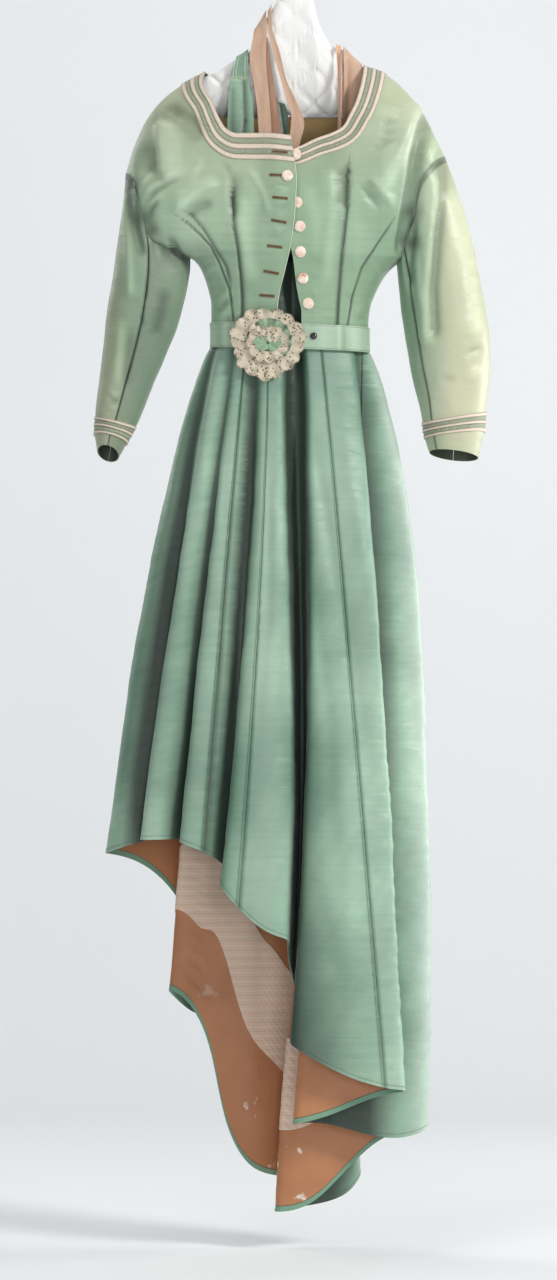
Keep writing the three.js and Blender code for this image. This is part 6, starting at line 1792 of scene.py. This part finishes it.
# ------------------------------------------------------------------ ribbon loops and waist tab
# Peach satin ribbon loops sewn inside the skirt's band take the skirt's weight over the hanger, with
# a gathered tab of the green silk beside them. They are flat strips, folded over the pad's top.
STRIP_MM = 0.9
STRIPS = {                                # left edge x, y, z, then right edge x, y, z
    "hanger_loop_right_outer": [
        (-77.5, -45.4, -588.5, -55.6, -48.5, -588.5), (-77.5, -45.4, -554, -55.6, -48.5, -554),
        (-70, -46, -440, -48, -46, -440), (-58, -38, -350, -36, -38, -350), (-61, -31, -292, -39, -31, -290),
        (-67, -28, -248, -43, -28, -245), (-73, -27, -205, -46, -28, -204), (-68, -25, -172, -45, -26, -160),
        (-66, -13, -158, -46, -13, -125), (-66, 4, -156, -46, 4, -122), (-66, 20, -168, -46, 20, -140),
        (-66, 26, -205, -46, 26, -190),
    ],
    "hanger_loop_right_inner": [
        (-48.5, -52.8, -588.5, -27.5, -53.8, -588.5), (-48.5, -52.8, -554, -27.5, -53.8, -554),
        (-32, -46, -440, -10, -46, -440), (-10, -38, -360, 12, -38, -350), (-3, -34, -310, 19, -33, -318),
        (-13, -31, -270, 7, -31, -284), (-26, -29, -225, -12, -29, -241), (-35, -28, -190, -22, -28, -199),
        (-42, -27, -158, -36, -27, -150), (-43, -16, -128, -37, -16, -117), (-43, 4, -123, -37, 4, -112),
        (-43, 21, -132, -37, 21, -122), (-43, 25, -170, -37, 25, -160),
    ],
    "hanger_loop_right_back": [
        (-66, -38, -400, -34, -38, -400), (-58, -33, -350, -18, -33, -350), (-56, -27, -300, -25, -27, -300),
        (-58, -25.4, -246, -33, -25.6, -246), (-60, -24.6, -200, -40, -24.8, -200),
        (-58, -23.6, -176, -43, -24.2, -172),
    ],
    "hanger_loop_left_outer": [
        (59.4, -48, -588.5, 80.5, -41.2, -588.5), (59.4, -48, -554, 80.5, -41.2, -554),
        (74, -44, -440, 96, -42, -440), (82, -40, -350, 106, -38, -350), (84, -34, -300, 112, -33, -300),
        (86, -29, -240, 118, -30, -252), (86, -20, -197, 118, -21, -228), (86, 2, -184, 117, 2, -214),
        (86, 22, -198, 115, 22, -226), (86, 26, -235, 112, 26, -252),
    ],
    "hanger_loop_left_inner": [
        (34.4, -52.6, -588.5, 55.6, -48.9, -588.5), (34.4, -52.6, -554, 55.6, -48.9, -554),
        (52, -46, -440, 70, -46, -440), (74, -34, -350, 80, -50, -350), (76, -30, -300, 81, -51, -300),
        (76, -28, -240, 82, -46, -240), (74, -22, -192, 81, -26, -196), (74, 2, -180, 81, 2, -183),
        (74, 24, -194, 81, 24, -197), (74, 26, -235, 81, 26, -235),
    ],
    "waist_tab": [
        (-104, -47, -430, -76, -46, -430), (-112, -41, -352, -66, -40, -352),
        (-110, -34, -284, -68, -34, -284), (-104, -28, -233, -77, -28, -233),
        (-96, -22, -204, -77, -20, -195), (-95, 2, -201.8, -76, 2, -188.8),
        (-95, 24, -212, -76, 24, -200), (-95, 27, -245, -76, 27, -240),
    ],
    "waist_tab_end": [
        (-30, -29, -392, -16, -29, -392), (-19, -27, -338, -11, -27, -340), (-22, -26, -318, -8, -26, -318),
        (-26, -25.4, -298, -9, -25.4, -300), (-29, -25, -280, -14, -25, -284),
    ],
}
# Folds and puckers of each strip: line through x, z, half width, height.
STRIP_FOLDS = {
    "waist_tab": [
        ((-84, -246), (-81.6, -314.5), 3.6, -1.4), ((-81.6, -314.5), (-86.7, -352), 3.2, -1.6),
        ((-94, -246), (-92, -352), 7, 1.1), ((-74, -250), (-72, -345), 5, 1.0),
        ((-103, -262), (-104, -350), 4, -0.9), ((-112, -243), (-66, -241), 2.2, 2.0),
    ],
    "hanger_loop_right_outer": [((-50, -200), (-44, -262), 5, 0.7), ((-62, -300), (-50, -240), 7, -0.6)],
    "hanger_loop_right_inner": [((-22, -232), (6, -300), 5, -0.7), ((0, -262), (14, -330), 4, 0.8)],
    "hanger_loop_left_outer": [((92, -208), (94, -330), 3.4, -2.2), ((104, -205), (100, -300), 5, 1.0)],
    "waist_tab_end": [((-22, -284), (-15, -336), 3.0, -1.3)],
}


def ribbon_cloth(name, lit, shade):
    look = Look(name, {"Roughness": 0.5, "Sheen Weight": 0.25})
    streak = look.spread(look.noise(look.stretch(look.cloth, 90.0, 12.0, 1.0), 1.0, 3.0), 0.35, 0.68)
    rib = look.noise(look.stretch(look.cloth, 60.0, 1500.0, 1.0), 1.0, 1.0)
    return look.finish(look.mix(streak, shade, lit), look.bump(rib, 0.25, 0.0004))


peach_ribbon = ribbon_cloth("peach_ribbon", srgb(202, 170, 146), srgb(186, 150, 126))
# Darker and lighter copies of the ribbon: painted shade for the strand that lies back in the right loop,
# painted light for the left loop's inner strand.
shaded_ribbon = ribbon_cloth("shaded_ribbon", srgb(172, 132, 108), srgb(146, 106, 84))
glow_ribbon = ribbon_cloth("glowing_ribbon", srgb(240, 192, 156), srgb(214, 150, 112))
STRIP_MATERIALS = {
    "hanger_loop_right_back": shaded_ribbon, "hanger_loop_left_inner": glow_ribbon,
    "waist_tab": skirt_silk, "waist_tab_end": skirt_silk,
}
# Painted shade over the silk tab and its end, which hang in shadow inside the bodice.
STRIP_SHADE = {"waist_tab": 0.42, "waist_tab_end": 0.62}
STRIP_COLUMNS = 17
for name, edges in STRIPS.items():
    table = np.array(edges, float)
    middle = (table[:, :3] + table[:, 3:]) / 2
    run = np.concatenate(([0], np.cumsum(np.linalg.norm(np.diff(middle, axis=0), axis=-1))))
    steps = np.linspace(0, run[-1], max(16, int(run[-1] / 4)))
    smooth = np.stack([smooth_table(np.stack((run, column), axis=1))(steps) for column in table.T], axis=-1)
    share = np.linspace(0, 1, STRIP_COLUMNS)
    left, right = smooth[:, None, :3], smooth[:, None, 3:]
    points = lerp(left, right, share[:, None])
    normals = -normalised(np.cross(np.gradient(points, axis=0), right - left))
    width = np.linalg.norm(right - left, axis=-1)
    x, z = points[..., 0], points[..., 2]
    front = (points[..., 1] < -8) & (z > -420)
    relief = 0.22 * waves(points, BODICE_WAVES) + 0.3 * np.cos(share * 2 * math.pi)
    for (x0, z0), (x1, z1), wide, high in STRIP_FOLDS.get(name, []):
        t = np.clip(((x - x0) * (x1 - x0) + (z - z0) * (z1 - z0)) / ((x1 - x0) ** 2 + (z1 - z0) ** 2), 0, 1)
        away = np.hypot(x - lerp(x0, x1, t), z - lerp(z0, z1, t))
        relief = relief + front * high * np.exp(-(away / wide) ** 2)
    if name == "waist_tab":
        gathered = ease((z + 252) / 12) * (np.abs(points[..., 1]) < 60)
        ruffles = np.sin(share * 34 + 0.8 * np.sin(z / 9)) * (0.6 + 0.4 * np.sin(share * 9))
        relief = relief + gathered * 0.8 * ruffles
    uvs = np.stack([share * width, steps[:, None] + 0 * share], axis=-1)
    material = STRIP_MATERIALS.get(name, peach_ribbon)
    slot = "skirt_silk" if material == skirt_silk else "ribbon"
    stands = name not in ("hanger_loop_right_back", "waist_tab_end")
    # On the silk tab the folds are painted lighter on their crests and darker in their hollows, painted
    # highlight and shade, and the whole tab darker as painted shade inside the bodice.
    light_and_shade = relief / 4 - STRIP_SHADE.get(name, 0)
    strip = wall_piece(name, points, normals, relief - STRIP_MM, relief, uvs, material,
                       stands=stands, light_and_shade=light_and_shade)
    declare_sheet(points)

gather_thread = thread("gather_thread", srgb(214, 206, 180), srgb(180, 174, 148))
xs = np.linspace(-106, -70, 24)
frays = [np.stack([xs, -31.8 + 0.4 * np.sin(xs), -242.4 + 0.9 * np.sin(xs / 3.1)], axis=-1)]
for i in range(14):
    x = -105 + 2.6 * i
    reach = 4 + 2.2 * math.sin(2.3 * i)
    t = np.linspace(0, 1, 6)
    sway = 1.5 * math.sin(1.7 * i) * t
    frays.append(np.stack([x + sway, -31.6 - 1.1 * np.sin(3 * t), -241 + reach * (t - 0.5)], axis=-1))
lay_cord("tab_gather_threads", frays, 0.00032, gather_thread)
